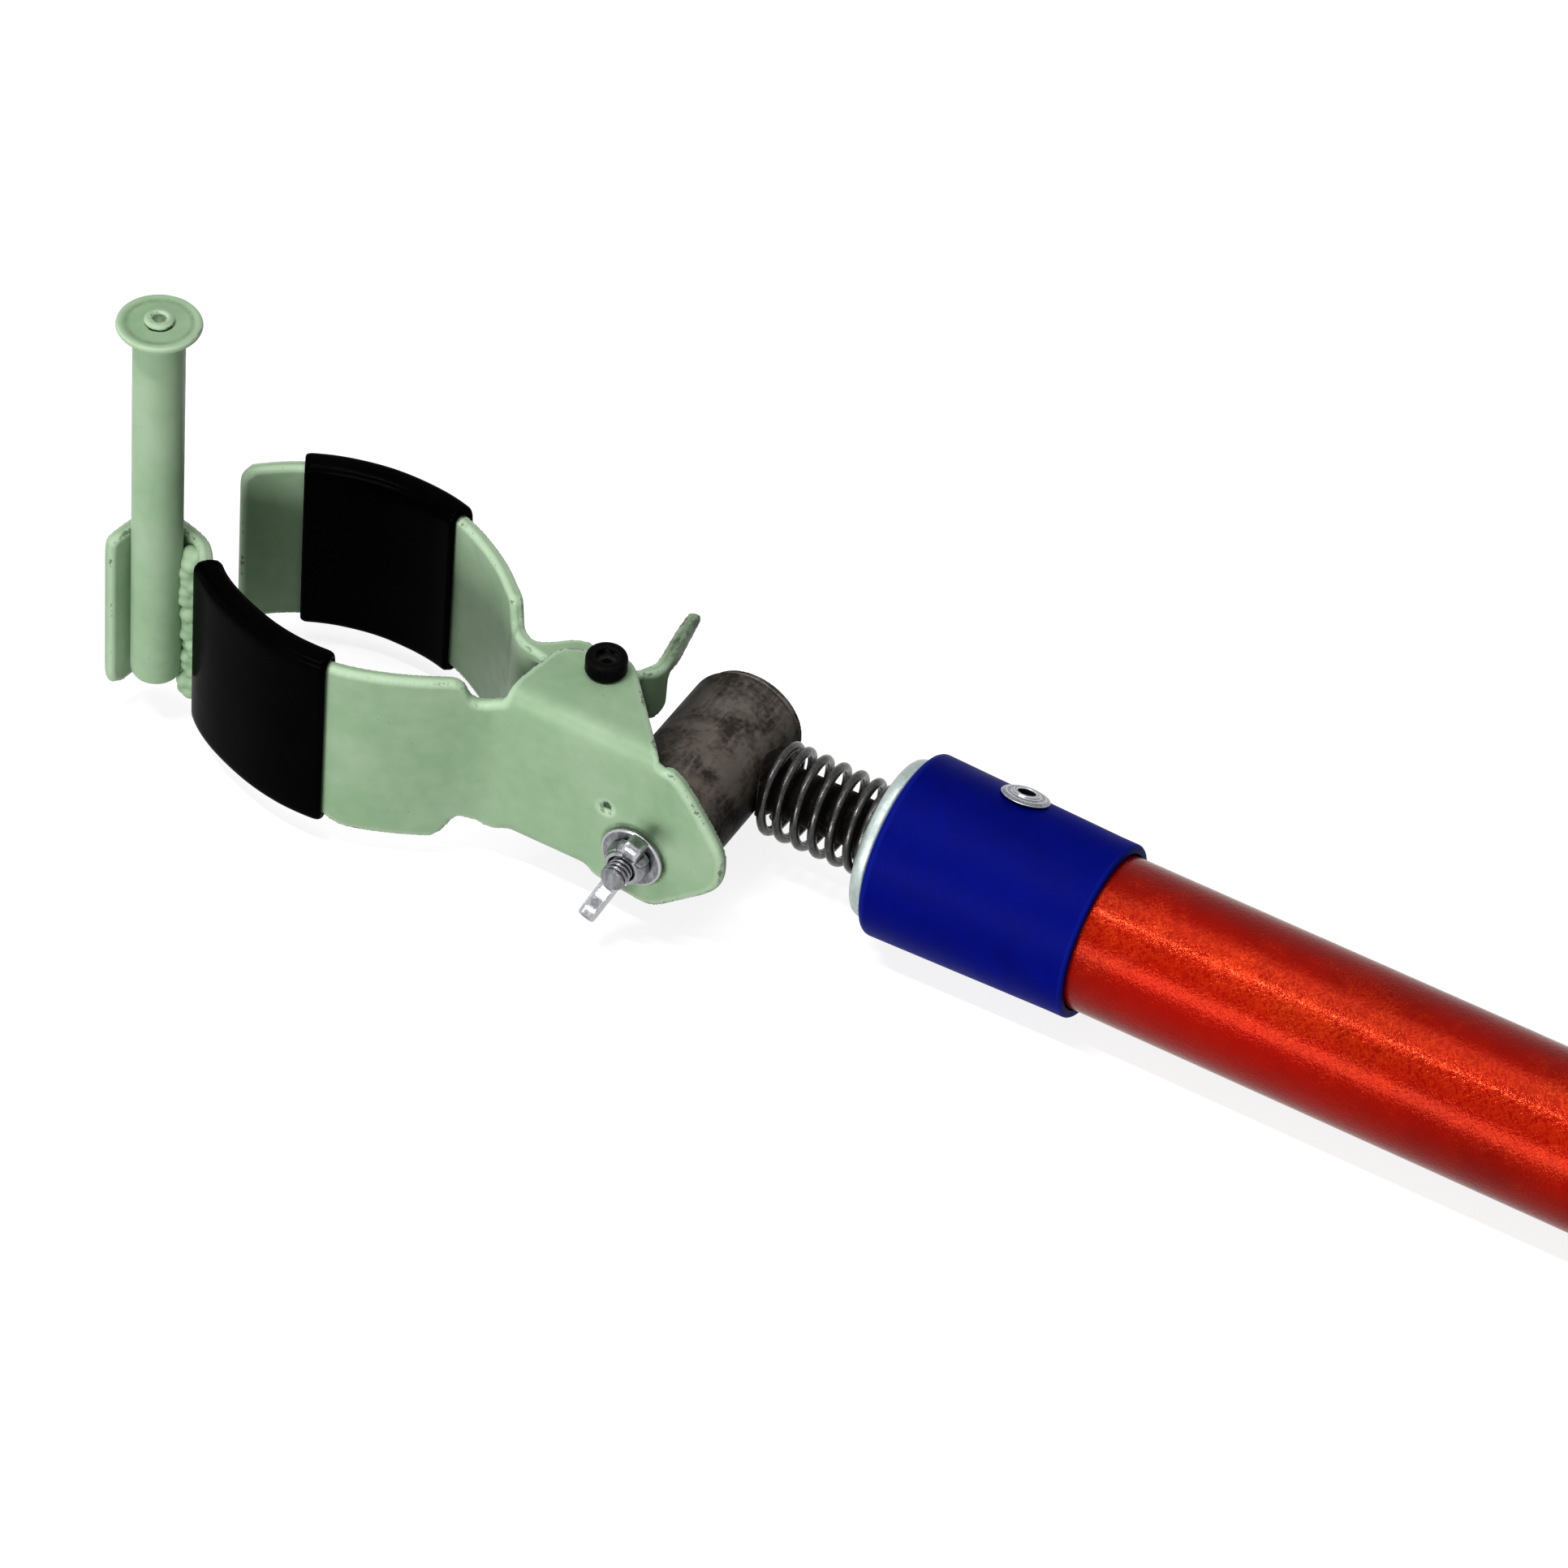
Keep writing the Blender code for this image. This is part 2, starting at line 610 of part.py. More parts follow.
def make_wing_nut():
    """Build the wing nut and the washer under it."""
    washer_high = PLATE_OUTER_Y - SEAT
    washer = turned("wing_nut_washer",
                    ring(NUT_WASHER_D, BOLT_D + 2 * RUNNING, washer_high - NUT_WASHER_T, washer_high),
                    (0, 0, 0), "Y", ZINC, 32)
    base = washer_high - NUT_WASHER_T - SEAT
    top = base - WING_HUB_T
    bore = BOLT_D / 2 + RUNNING
    profile = [(WING_HUB_D / 2, base), (WING_HUB_D / 2, base - WING_HUB_T / 4), (WING_HUB_TOP_D / 2, top),
               (bore, top), (bore, base)]
    nut = turned("wing_nut", profile, (0, 0, 0), "Y", ZINC, SMALL_STEPS)
    reach = WING_SPAN / 2
    root = (bore + WING_HUB_TOP_D / 2) / 2
    hub_foot, hub_top = WING_HUB_T * 0.12, WING_HUB_T * 0.82
    outline = [(root, hub_foot), (reach * 0.45, hub_foot), (reach * 0.78, WING_HUB_T * 0.45),
               (reach * 0.97, WING_HUB_T * 0.9), (reach, WING_HEIGHT * 1.175),
               (reach * 0.9, WING_HEIGHT * 1.325), (reach * 0.74, WING_HEIGHT * 1.2),
               (reach * 0.58, WING_HEIGHT * 0.925), (reach * 0.42, WING_HUB_T * 0.86), (root, hub_top)]
    for number in range(2):
        turn = math.radians(90 - WING_TILT + 180 * number)
        wing = prism(f"wing_{number + 1}", outline, -WING_T / 2, WING_T / 2, (0, 0, 0), "Z", ZINC,
                     home=CUTTERS)
        facing = Matrix(((math.cos(turn), 0.0, math.sin(turn)), (0.0, -1.0, 0.0),
                         (math.sin(turn), 0.0, -math.cos(turn)))).to_4x4()
        wing.matrix_world = Matrix.Translation(point(0, base, 0)) @ facing
        combine(nut, wing, "UNION")
    return washer, nut


# Jaws


def bent_flange(name, leg_y, side, face, up, leg, plan):
    """Build a flange with its bend: an L section along X, trimmed to a plan outline.

    leg_y is the middle of the plate that the flange grows from, side is +1 or -1 for the way it runs,
    face is the height of its outer face, and up is +1 for a flange on top and -1 for one below.
    """
    half = STRAP_T / 2 - BEND_INSET
    outer_r = FLANGE_BEND
    inner_r = FLANGE_BEND - STRAP_T
    reach = max(abs(y - leg_y) for x, y in plan) + STRAP_T
    outside = leg_y - side * half
    inside = leg_y + side * half
    section = [(outside, face - up * leg)]
    hub_y = outside + side * outer_r
    hub_z = face - up * outer_r
    sweep = [math.radians(90 * i / 5) for i in range(6)]
    section += [(hub_y - side * outer_r * math.cos(a), hub_z + up * outer_r * math.sin(a)) for a in sweep]
    section += [(leg_y + side * reach, face), (leg_y + side * reach, face - up * STRAP_T)]
    bend_r = inner_r + BEND_INSET
    section += [(hub_y - side * bend_r * math.cos(a), hub_z + up * bend_r * math.sin(a))
                for a in reversed(sweep)]
    section += [(inside, face - up * leg)]
    xs = [x for x, y in plan]
    flange = prism(name, [(-z, y) for y, z in section], min(xs) - STRAP_T, max(xs) + STRAP_T, (0, 0, 0),
                   "X", GREEN, home=CUTTERS)
    trim = prism(name + "_trim", plan, face - 2 * leg, face + 2 * leg, (0, 0, 0), "Z", None, home=CUTTERS)
    return combine(flange, trim, "INTERSECT")


def upright_hole(name, x, y, diameter, low, high):
    """Build a vertical drill."""
    return turned(name, rod(diameter, low, high), (x, y, 0), "Z", None, SMALL_STEPS, CUTTERS)


def near_path():
    """Plan path of the fixed jaw: lip, saddle round the pin, arm and plate."""
    seat_r = PIN_D / 2 + SEAT + STRAP_T / 2
    saddle = arc((PIN_X, PIN_Y), seat_r, 178, 66, 5)
    lip = drawn([(-1.6, -6.6), (-0.4, -3.2)], PIN_X - seat_r, PIN_Y)
    arm = drawn([(-121.3, -33.1), (-117.0, -38.4), (-112.8, -42.3), (-106.5, -46.0), (-98.0, -49.4),
                 (-90.0, -51.5), (-82.0, -52.3), (-73.0, -51.6), (-64.0, -48.8), (-55.0, -44.5),
                 (-48.5, -40.6), (-44.0, -38.0)])
    plate = drawn([(-41.0, -0.45), (-38.6, 0.0), (-36.0, 0.0)], y=PLATE_MID_Y)
    ear = drawn([(-12.0, 0.0), (4.0, 0.0)], y=PLATE_MID_Y)
    return [*rounded([*lip, *saddle, *arm, *plate]), *ear, (EAR_END, PLATE_MID_Y)]


def far_path():
    """Plan path of the swing jaw: arm, joggle, body plate and finger lever."""
    arm = drawn([(-128.3, -6.4), (-120.5, 0.6), (-113.5, 4.9), (-105.5, 8.0), (-95.0, 10.0), (-82.0, 9.5),
                 (-71.5, 6.2), (-61.0, 0.1), (-54.5, -5.3), (-50.0, -9.6), (-46.3, -14.4), (-42.0, -17.0),
                 (-37.0, -14.2)])
    body = drawn([(-32.4, 0.0), (-26.0, 0.0), (-18.6, 0.0), (-15.3, 0.6), (-13.6, 2.3), (-13.2, 5.0)],
                 y=SWING_PLATE_Y)
    lever = drawn([(-14.0, 0.5), (-15.2, 8.0), (-16.4, 16.0)])
    return rounded([*arm, *body, *lever])


def edge_heights(path, places):
    """Turn (x, height) marks into marks over the distance run along a path."""
    return [(run_at(path, x), z) for x, z in places]


def make_fixed_jaw():
    """Build the fixed jaw from its strap, with bent flanges for the pivot and holes for the bolts."""
    path = near_path()
    top = STRAP_HIGH - FLANGE_BEND
    bottom = PLATE_LOW + FLANGE_BEND
    tube_gap = math.sqrt((TUBE_D / 2) ** 2 - (PLATE_LOW + STRAP_T) ** 2) + 2 * RUNNING
    lip_round = drawn([(0.0, 2.2), (0.5, 1.1), (1.2, 0.35), (2.2, 0.0)])
    low_edge = [(s, STRAP_LOW + rise) for s, rise in lip_round]
    low_edge += edge_heights(path, [
        *drawn([(-74.0, 0.0)], y=STRAP_LOW),
        *drawn([(-73.2, 1.3), (-71.4, 0.4), (-68.0, 0.0), (-51.2, 0.0), (-49.6, 0.9), (-48.4, 3.4),
                (-47.4, 5.6)], y=STRAP_LOW - ARM_DROP),
        *drawn([(-46.0, 1.9), (-44.0, 1.6), (-42.4, 0.6), (-41.0, 0.0), (-35.4, 0.0)], y=PLATE_LOW),
        *drawn([(-35.3, 0.0)], y=bottom), *drawn([(-0.4, 0.0)], -tube_gap, bottom),
        *drawn([(-0.3, 0.0)], -tube_gap, PLATE_LOW),
        *drawn([(-3.0, -1.0), (3.5, -2.1), (5.6, -1.5), (7.6, -0.1)], y=PLATE_LOW),
        *drawn([(19.0, -3.4), (21.2, -0.9), (22.4, 2.0)]), *drawn([(0.0, 4.6)], EAR_END)])
    high_edge = [(s, STRAP_HIGH - fall) for s, fall in lip_round]
    high_edge += edge_heights(path, [
        *drawn([(-46.8, 0.0), (-46.2, -1.2), (-45.4, -4.0), (-44.4, -5.8), (-43.0, -6.4), (-41.4, -6.0),
                (-39.6, -5.0)], y=STRAP_HIGH),
        *drawn([(-38.2, 0.0), (3.8, 0.0)], y=top), *drawn([(6.6, -2.4)], y=STRAP_HIGH),
        *drawn([(9.6, 27.6), (13.5, 23.2), (18.0, 17.0), (21.0, 12.4), (22.2, 10.0)]),
        *drawn([(0.0, 7.4)], EAR_END)])
    jaw = strap("fixed_jaw", path, low_edge, high_edge, GREEN)
    crown = arc((PIVOT_X, PIVOT_Y), FLANGE_R, 38, 118, 6)
    back = PLATE_OUTER_Y - STRAP_T
    upper_plan = [*crown, *drawn([(-32.6, -16.0), (-34.2, -17.4), (-34.9, -19.8), (-36.9, -33.0)]),
                  *drawn([(-36.9, 0.0), (8.0, 0.0)], y=back)]
    lower_crown = arc((PIVOT_X, PIVOT_Y), FLANGE_R, 0, 150, 8)
    lower_plan = [*lower_crown, *drawn([(-31.5, -26.0), (-35.4, -33.0)]), *drawn([(-35.4, 0.0)], y=back),
                  *drawn([(-0.3, 0.0)], -tube_gap, back), *drawn([(-0.3, 2.0)], -tube_gap, PLATE_INNER_Y)]
    leg = FLANGE_BEND + FLANGE_LAP
    combine(jaw, bent_flange("upper_flange", PLATE_MID_Y, 1, STRAP_HIGH, 1, leg, upper_plan), "UNION")
    combine(jaw, bent_flange("lower_flange", PLATE_MID_Y, 1, PLATE_LOW, -1, leg, lower_plan), "UNION")
    combine(jaw, upright_hole("pivot_drill", PIVOT_X, PIVOT_Y, PIVOT_D + 2 * SEAT, 2 * STRAP_LOW,
                              2 * STRAP_HIGH), "DIFFERENCE")
    combine(jaw, turned("bolt_drill", rod(BOLT_D + 2 * SEAT, 2 * PLATE_OUTER_Y, 0), (0, 0, 0), "Y", None,
                        SMALL_STEPS, CUTTERS), "DIFFERENCE")
    combine(jaw, turned("index_drill", rod(INDEX_HOLE_D, 2 * PLATE_OUTER_Y, 0), (INDEX_X, 0, INDEX_Z), "Y",
                        None, 16, CUTTERS), "DIFFERENCE")
    return jaw


def make_swing_jaw():
    """Build the swing jaw: strap, two pivot ears inside the fixed jaw's flanges, and the finger lever."""
    path = far_path()
    top = SWING_HIGH - FLANGE_BEND
    bottom = SWING_LOW + FLANGE_BEND
    length = along(path)[-1]
    neck = length - LEVER_LENGTH
    tube_top = TUBE_D / 2
    end_round = drawn([(0.0, 3.0), (0.6, 1.6), (1.6, 0.5), (3.0, 0.0)])
    low_edge = [(s, STRAP_LOW + rise) for s, rise in end_round]
    low_edge += edge_heights(path, [
        *drawn([(-50.0, 0.0), (-49.2, 1.4)], y=STRAP_LOW),
        *drawn([(-48.4, 1.2), (-47.0, 1.6), (-45.0, 0.0), (-30.3, 0.0)], y=SWING_LOW),
        *drawn([(-30.2, 0.0), (-19.9, 0.0)], y=bottom), *drawn([(-19.8, -6.0), (-16.2, -3.6)], y=tube_top)])
    lever_low = SWING_HIGH - LEVER_DEPTH
    low_edge += [*drawn([(-4.0, -1.4), (-0.2, 0.0)], neck, tube_top), (neck, SWING_HIGH - LEVER_NECK),
                 *drawn([(5.6, 0.0)], neck, lever_low), *drawn([(-2.4, 1.4), (0.0, 2.2)], length, lever_low)]
    high_edge = [(s, STRAP_HIGH - fall) for s, fall in end_round]
    high_edge += edge_heights(path, [
        *drawn([(-50.4, 0.0), (-50.0, -1.0)], y=STRAP_HIGH),
        *drawn([(-49.2, -1.0), (-48.0, -1.4), (-46.4, 0.0), (-29.3, 0.0)], y=SWING_HIGH),
        *drawn([(-29.2, 0.0), (-16.3, 0.0)], y=top), *drawn([(-16.2, 0.0)], y=SWING_HIGH)])
    high_edge += [*drawn([(12.0, 0.0)], neck, SWING_HIGH),
                  *drawn([(-1.2, -1.5), (0.0, -2.2)], length, SWING_HIGH)]
    jaw = strap("swing_jaw", path, low_edge, high_edge, GREEN)
    back = SWING_PLATE_Y + STRAP_T
    nose = arc((PIVOT_X, PIVOT_Y), EAR_R, 180, 360, 10)
    upper_ear, lower_ear = (-16.2, -29.2), (-19.9, -30.2)
    plans = [[*nose, *drawn([(right, -2.5)], y=SWING_PLATE_Y), *drawn([(right, 0.0), (left, 0.0)], y=back),
              *drawn([(left, -2.6)], y=SWING_PLATE_Y)] for right, left in (upper_ear, lower_ear)]
    leg = FLANGE_BEND + FLANGE_LAP
    combine(jaw, bent_flange("upper_ear", SWING_PLATE_Y, -1, SWING_HIGH, 1, leg, plans[0]), "UNION")
    combine(jaw, bent_flange("lower_ear", SWING_PLATE_Y, -1, SWING_LOW, -1, leg, plans[1]), "UNION")
    web_low, web_high = -45.6 * PLAN_UNIT, -29.0 * PLAN_UNIT
    root = [(x, y) for x, y in path if web_low <= x <= web_high and y < SWING_PLATE_Y + SEAT]
    web_plan = [*root, *drawn([(-27.0, 0.0)], y=PIVOT_Y + EAR_R / 2), *drawn([(-27.0, 0.0)], y=PIVOT_Y),
                *drawn([(-35.2, -20.2), (-41.6, -18.6)])]
    combine(jaw, prism("upper_web", web_plan, SWING_HIGH - STRAP_T, SWING_HIGH - BEND_INSET, (0, 0, 0), "Z",
                       GREEN, home=CUTTERS), "UNION")
    combine(jaw, upright_hole("swing_drill", PIVOT_X, PIVOT_Y, PIVOT_D + 2 * RUNNING, 2 * SWING_LOW,
                              2 * SWING_HIGH), "DIFFERENCE")
    return jaw


def make_sleeve(name, path, start_x, end_x):
    """Build a vinyl sleeve round the strap between two places along its path."""
    start, end = run_at(path, start_x), run_at(path, end_x)
    full, run = refine(path, [start, end])
    half = STRAP_T / 2 + SEAT + VINYL_WALL / 2
    low = STRAP_LOW - SEAT - VINYL_WALL / 2
    high = STRAP_HIGH + SEAT + VINYL_WALL / 2
    soft = VINYL_ROUND
    bevel = soft * 0.3
    section = [(half, low + soft), (half, high - soft), (half - bevel, high - bevel), (half - soft, high),
               (soft - half, high), (bevel - half, high - bevel), (-half, high - soft), (-half, low + soft),
               (bevel - half, low + bevel), (soft - half, low), (half - soft, low),
               (half - bevel, low + bevel)]
    rows = []
    for i, ((x, y), s) in enumerate(zip(full, run)):
        if start - 1e-6 <= s <= end + 1e-6:
            ahead, behind = Vector(full[min(i + 1, len(full) - 1)]), Vector(full[max(i - 1, 0)])
            heading = (ahead - behind).normalized()
            rows.append([(x - heading.y * side, y + heading.x * side, z) for side, z in section])
    return sheet(name, rows, VINYL_WALL, BLACK_VINYL, closed=True)


def make_guide_pin():
    """Build the guide pin, riveted through its cap."""
    cap_low = PIN_HIGH + SEAT
    cap_high = cap_low + PIN_CAP_T
    boss_low = cap_high - PIN_CAP_T / 9 + SEAT
    boss_top = boss_low + PIN_BOSS_T
    r, tenon, boss, bore, edge = PIN_D / 2, PIN_TENON_D / 2, PIN_BOSS_D / 2, PIN_BOSS_BORE_D / 2, PIN_D / 16
    profile = [(0.0, boss_top - PIN_BOSS_T), (bore, boss_top - PIN_BOSS_T), (bore, boss_top),
               (boss - EDGE_BREAK, boss_top), (boss, boss_top - EDGE_BREAK), (boss, boss_low),
               (tenon, boss_low), (tenon, PIN_HIGH), (r, PIN_HIGH), (r, PIN_LOW + edge), (r - edge, PIN_LOW),
               (0.0, PIN_LOW)]
    pin = turned("guide_pin", profile, (PIN_X, PIN_Y, 0), "Z", GREEN)
    rim, dish = PIN_CAP_D / 2, cap_high - PIN_CAP_T / 9
    inner = tenon + SEAT
    cap_profile = [(rim * 0.95, cap_high), (rim, cap_high - EDGE_BREAK), (rim, cap_low + PIN_CAP_T * 0.6),
                   (rim * 0.9, cap_low + PIN_CAP_T * 0.38), (r * 1.08, cap_low), (inner, cap_low),
                   (inner, dish), (rim * 0.8, dish), (rim * 0.84, cap_high)]
    cap = turned("guide_pin_cap", cap_profile, (PIN_X, PIN_Y, 0), "Z", GREEN)
    return pin, cap


def make_pivot():
    """Build the pivot screw with its washer, lock nut, spacer and torsion spring."""
    head_low = STRAP_HIGH + SEAT
    head_top = head_low + PIVOT_HEAD_T
    washer_high = PLATE_LOW - SEAT
    washer_low = washer_high - PIVOT_WASHER_T
    nut_high = washer_low - SEAT
    nut_low = nut_high - PIVOT_NUT_T
    tip = nut_low - PIVOT_PAST_NUT
    shank, head = PIVOT_D / 2, PIVOT_HEAD_D / 2
    profile = [(0.0, head_top), (head - EDGE_BREAK, head_top), (head, head_top - EDGE_BREAK),
               (head, head_low), (shank, head_low), (shank, tip + EDGE_BREAK), (shank - EDGE_BREAK, tip),
               (0.0, tip)]
    screw = turned("jaw_pivot_screw", profile, (PIVOT_X, PIVOT_Y, 0), "Z", BLACK_OXIDE, 32)
    socket = prism("pivot_socket", hexagon(PIVOT_RECESS_FLATS), head_top - PIVOT_RECESS_DEPTH,
                   head_top + PIVOT_RECESS_DEPTH, (PIVOT_X, PIVOT_Y, 0), "Z", None, home=CUTTERS)
    combine(screw, socket, "DIFFERENCE")
    washer = turned("jaw_pivot_washer", ring(PIVOT_WASHER_D, PIVOT_D + 2 * SEAT, washer_low, washer_high),
                    (PIVOT_X, PIVOT_Y, 0), "Z", ZINC, 32)
    nut = prism("jaw_pivot_nut", hexagon(PIVOT_NUT_FLATS), nut_low, nut_high, (PIVOT_X, PIVOT_Y, 0), "Z",
                ZINC, [circle(PIVOT_D / 2 + SEAT)])
    low = SWING_LOW + STRAP_T + SEAT
    high = SWING_HIGH - STRAP_T - SEAT
    spacer = turned("jaw_pivot_spacer", ring(SPACER_D, PIVOT_D + 2 * SEAT, low, high), (PIVOT_X, PIVOT_Y, 0),
                    "Z", ZINC, SMALL_STEPS)
    pitch = TORSION_WIRE + SEAT
    top = high - TORSION_WIRE - SEAT
    first = top - pitch * (TORSION_TURNS + 0.5)
    wound = helix(TORSION_MEAN_D, -90, TORSION_TURNS + 0.5, first, top)
    near_leg_y = PLATE_INNER_Y + SEAT + TORSION_WIRE / 2 - PIVOT_Y
    near_leg = [(-TORSION_MEAN_D * 1.5, near_leg_y, first), (-TORSION_MEAN_D * 1.1, near_leg_y, first),
                (-TORSION_MEAN_D * 0.3, near_leg_y / 2, first)]
    far_leg = [(-TORSION_MEAN_D, TORSION_MEAN_D / 2, top)]
    spring = coil("jaw_torsion_spring", TORSION_WIRE, [*near_leg, *wound, *far_leg], (PIVOT_X, PIVOT_Y, 0),
                  "Z", SPRING_STEEL)
    return screw, washer, nut, spacer, spring


def carry(name, place, pieces):
    """Hang the pieces of a moving group on an empty that stands on their joint's axis."""
    axis = bpy.data.objects.new(name, None)
    PARTS.objects.link(axis)
    axis.empty_display_size = POLE_D * MM / 2
    axis.location = point(*place)
    for piece in pieces:
        piece.parent = axis
        piece.matrix_parent_inverse = Matrix.Translation(axis.location).inverted()
    return axis


def build():
    """Build the whole hot stick."""
    tube, core, cap = make_pole()
    collar = make_collar()
    plug = make_plug()
    make_rivets([tube, collar, plug])
    shaft, stop_washer, stop_nut = make_shaft()
    make_spring()
    cross_tube, end_washer = make_cross_tube()
    bolt = make_clamp_bolt()
    nut_washer, wing_nut = make_wing_nut()
    fixed_jaw = make_fixed_jaw()
    swing_jaw = make_swing_jaw()
    near_sleeve = make_sleeve("fixed_jaw_sleeve", near_path(), NEAR_SLEEVE_TIP, NEAR_SLEEVE_HEEL)
    far_sleeve = make_sleeve("swing_jaw_sleeve", far_path(), FAR_SLEEVE_TIP, FAR_SLEEVE_HEEL)
    pin, pin_cap = make_guide_pin()
    screw, washer, lock_nut, spacer, torsion = make_pivot()
    carry("shaft_stop_axis", (SHOULDER, 0, 0), [stop_washer])
    carry("swivel_axis", (0, 0, 0), [shaft, stop_nut, cross_tube, end_washer, bolt])
    carry("tilt_axis", (0, 0, 0),
          [fixed_jaw, near_sleeve, pin, pin_cap, screw, washer, lock_nut, spacer, torsion])
    carry("jaw_pivot_axis", (PIVOT_X, PIVOT_Y, 0), [swing_jaw, far_sleeve])
    carry("wing_nut_axis", (0, PLATE_OUTER_Y, 0), [nut_washer, wing_nut])
    bpy.context.view_layer.update()
    for piece in PARTS.objects:
        if piece.type == "MESH":
            settle(piece)
    bpy.context.view_layer.update()


build()
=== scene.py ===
"""Looks of a lineman hot stick: painted spring jaws on a tilting knuckle at the end of a fibreglass pole.

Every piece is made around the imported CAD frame, in its coordinates and in metres. The pole runs along X,
the cross tube of the knuckle along Y, and the guide pin stands up along Z.
"""

import json
import logging
import math
from dataclasses import dataclass
from enum import Enum
from functools import cache

import bpy
import bmesh
import numpy as np
from mathutils import Matrix, Vector

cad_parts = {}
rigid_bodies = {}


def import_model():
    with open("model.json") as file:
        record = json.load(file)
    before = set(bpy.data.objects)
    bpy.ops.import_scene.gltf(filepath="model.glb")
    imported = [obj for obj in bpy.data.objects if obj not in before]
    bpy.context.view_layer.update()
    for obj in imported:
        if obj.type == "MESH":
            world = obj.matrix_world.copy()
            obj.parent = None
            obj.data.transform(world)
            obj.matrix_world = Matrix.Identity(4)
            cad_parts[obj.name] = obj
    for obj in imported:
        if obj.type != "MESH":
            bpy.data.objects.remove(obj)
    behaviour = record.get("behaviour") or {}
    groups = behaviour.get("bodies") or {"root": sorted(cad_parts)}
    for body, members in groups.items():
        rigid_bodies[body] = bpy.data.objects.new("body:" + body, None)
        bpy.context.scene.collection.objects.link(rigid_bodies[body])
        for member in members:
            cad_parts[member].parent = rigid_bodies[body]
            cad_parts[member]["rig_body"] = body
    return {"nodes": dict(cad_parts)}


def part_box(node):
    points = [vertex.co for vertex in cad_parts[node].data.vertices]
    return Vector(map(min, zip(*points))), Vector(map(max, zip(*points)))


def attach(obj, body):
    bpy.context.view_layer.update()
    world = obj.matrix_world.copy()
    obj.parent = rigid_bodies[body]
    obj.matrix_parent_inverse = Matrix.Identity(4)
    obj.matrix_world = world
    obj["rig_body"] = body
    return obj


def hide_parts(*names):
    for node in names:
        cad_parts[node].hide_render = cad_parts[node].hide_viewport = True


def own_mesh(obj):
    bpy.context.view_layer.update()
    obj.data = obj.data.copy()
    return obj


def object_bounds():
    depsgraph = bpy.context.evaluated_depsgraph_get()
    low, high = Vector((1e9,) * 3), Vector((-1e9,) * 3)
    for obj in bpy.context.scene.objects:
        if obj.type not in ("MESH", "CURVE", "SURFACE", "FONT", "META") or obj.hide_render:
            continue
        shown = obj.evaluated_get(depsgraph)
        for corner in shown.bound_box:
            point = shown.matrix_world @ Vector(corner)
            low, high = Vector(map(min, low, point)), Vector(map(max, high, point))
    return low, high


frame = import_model()
CAD_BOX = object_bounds()

LOG = logging.getLogger("hot_stick")
MM = 0.001
EDGE = "edge"
NOOK = "nook"
SEAM = "seam"
GRIP = "grip"
UNROLLED = "unrolled"

Colour = tuple[float, float, float]
Point = tuple[float, float, float]
Profile = list[tuple[float, float, float]]
Socket = bpy.types.NodeSocket
Piece = bpy.types.Object


def linear(red: int, green: int, blue: int) -> Colour:
    """Turn a screen colour of 0 to 255 a channel into the linear colour that a shader takes."""
    shares = (red / 255, green / 255, blue / 255)
    return tuple(s / 12.92 if s <= 0.04045 else ((s + 0.055) / 1.055) ** 2.4 for s in shares)


def placed(name: str, data: bpy.types.ID) -> Piece:
    """Put a new object in the scene.

    Args:
        name: Name of the object.
        data: Its mesh, lamp or camera.

    Returns:
        The object.
    """
    made = bpy.data.objects.new(name, data)
    bpy.context.scene.collection.objects.link(made)
    return made


def mesh_from(shape: bmesh.types.BMesh, name: str) -> bpy.types.Mesh:
    """Turn an edited shape into a mesh.

    Args:
        shape: The shape, which is freed.
        name: Name of the mesh.

    Returns:
        The mesh.
    """
    mesh = bpy.data.meshes.new(name)
    shape.to_mesh(mesh)
    shape.free()
    return mesh


def plain(piece: Piece) -> Piece:
    """Replace a piece's mesh by what its modifiers make of it.

    Args:
        piece: The piece.

    Returns:
        The same piece, without modifiers.
    """
    mesh = bpy.data.meshes.new_from_object(piece.evaluated_get(bpy.context.evaluated_depsgraph_get()))
    piece.modifiers.clear()
    piece.data = mesh
    mesh.name = piece.name
    return piece


def path_mesh(name: str, points: list[Point]) -> bpy.types.Mesh:
    """Make a mesh of edges that runs through points.

    Args:
        name: Name of the mesh.
        points: The points, in order.

    Returns:
        The mesh.
    """
    mesh = bpy.data.meshes.new(name)
    mesh.from_pydata(points, [(i, i + 1) for i in range(len(points) - 1)], [])
    return mesh


class Axis(Enum):
    """The world axis that a turned piece stands on, as the turn that lays its own Z axis along it."""

    X = Matrix.Rotation(math.pi / 2, 4, "Y")
    Y = Matrix.Rotation(-math.pi / 2, 4, "X")

    def at(self, centre: Vector) -> Matrix:
        """Return the frame of a turned piece that stands on this axis."""
        return Matrix.Translation(centre) @ self.value


class Texture(Enum):
    """The shared shader effects: the name of what each puts out, and its inputs."""

    MOTTLE = ("Value", {"Scale": 60.0, "Contrast": 1.0})
    GRAIN = ("Height", {"Scale": 900.0})
    STREAKS = ("Value", {"Scale": 300.0, "Along X": 1.0, "Along Y": 1.0, "Along Z": 1.0, "Low": 0.4,
                         "High": 0.6})
    SPECKS = ("Mask", {"Scale": 300.0, "Share": 0.2, "Size": 0.2})
    WEAR = ("Mask", {"Edge": 0.0, "Scale": 400.0, "Amount": 0.5})
    WINDING = ("Value", {"Scale": 900.0, "Angle": 0.8, "Stretch": 0.25, "Low": 0.45, "High": 0.6})


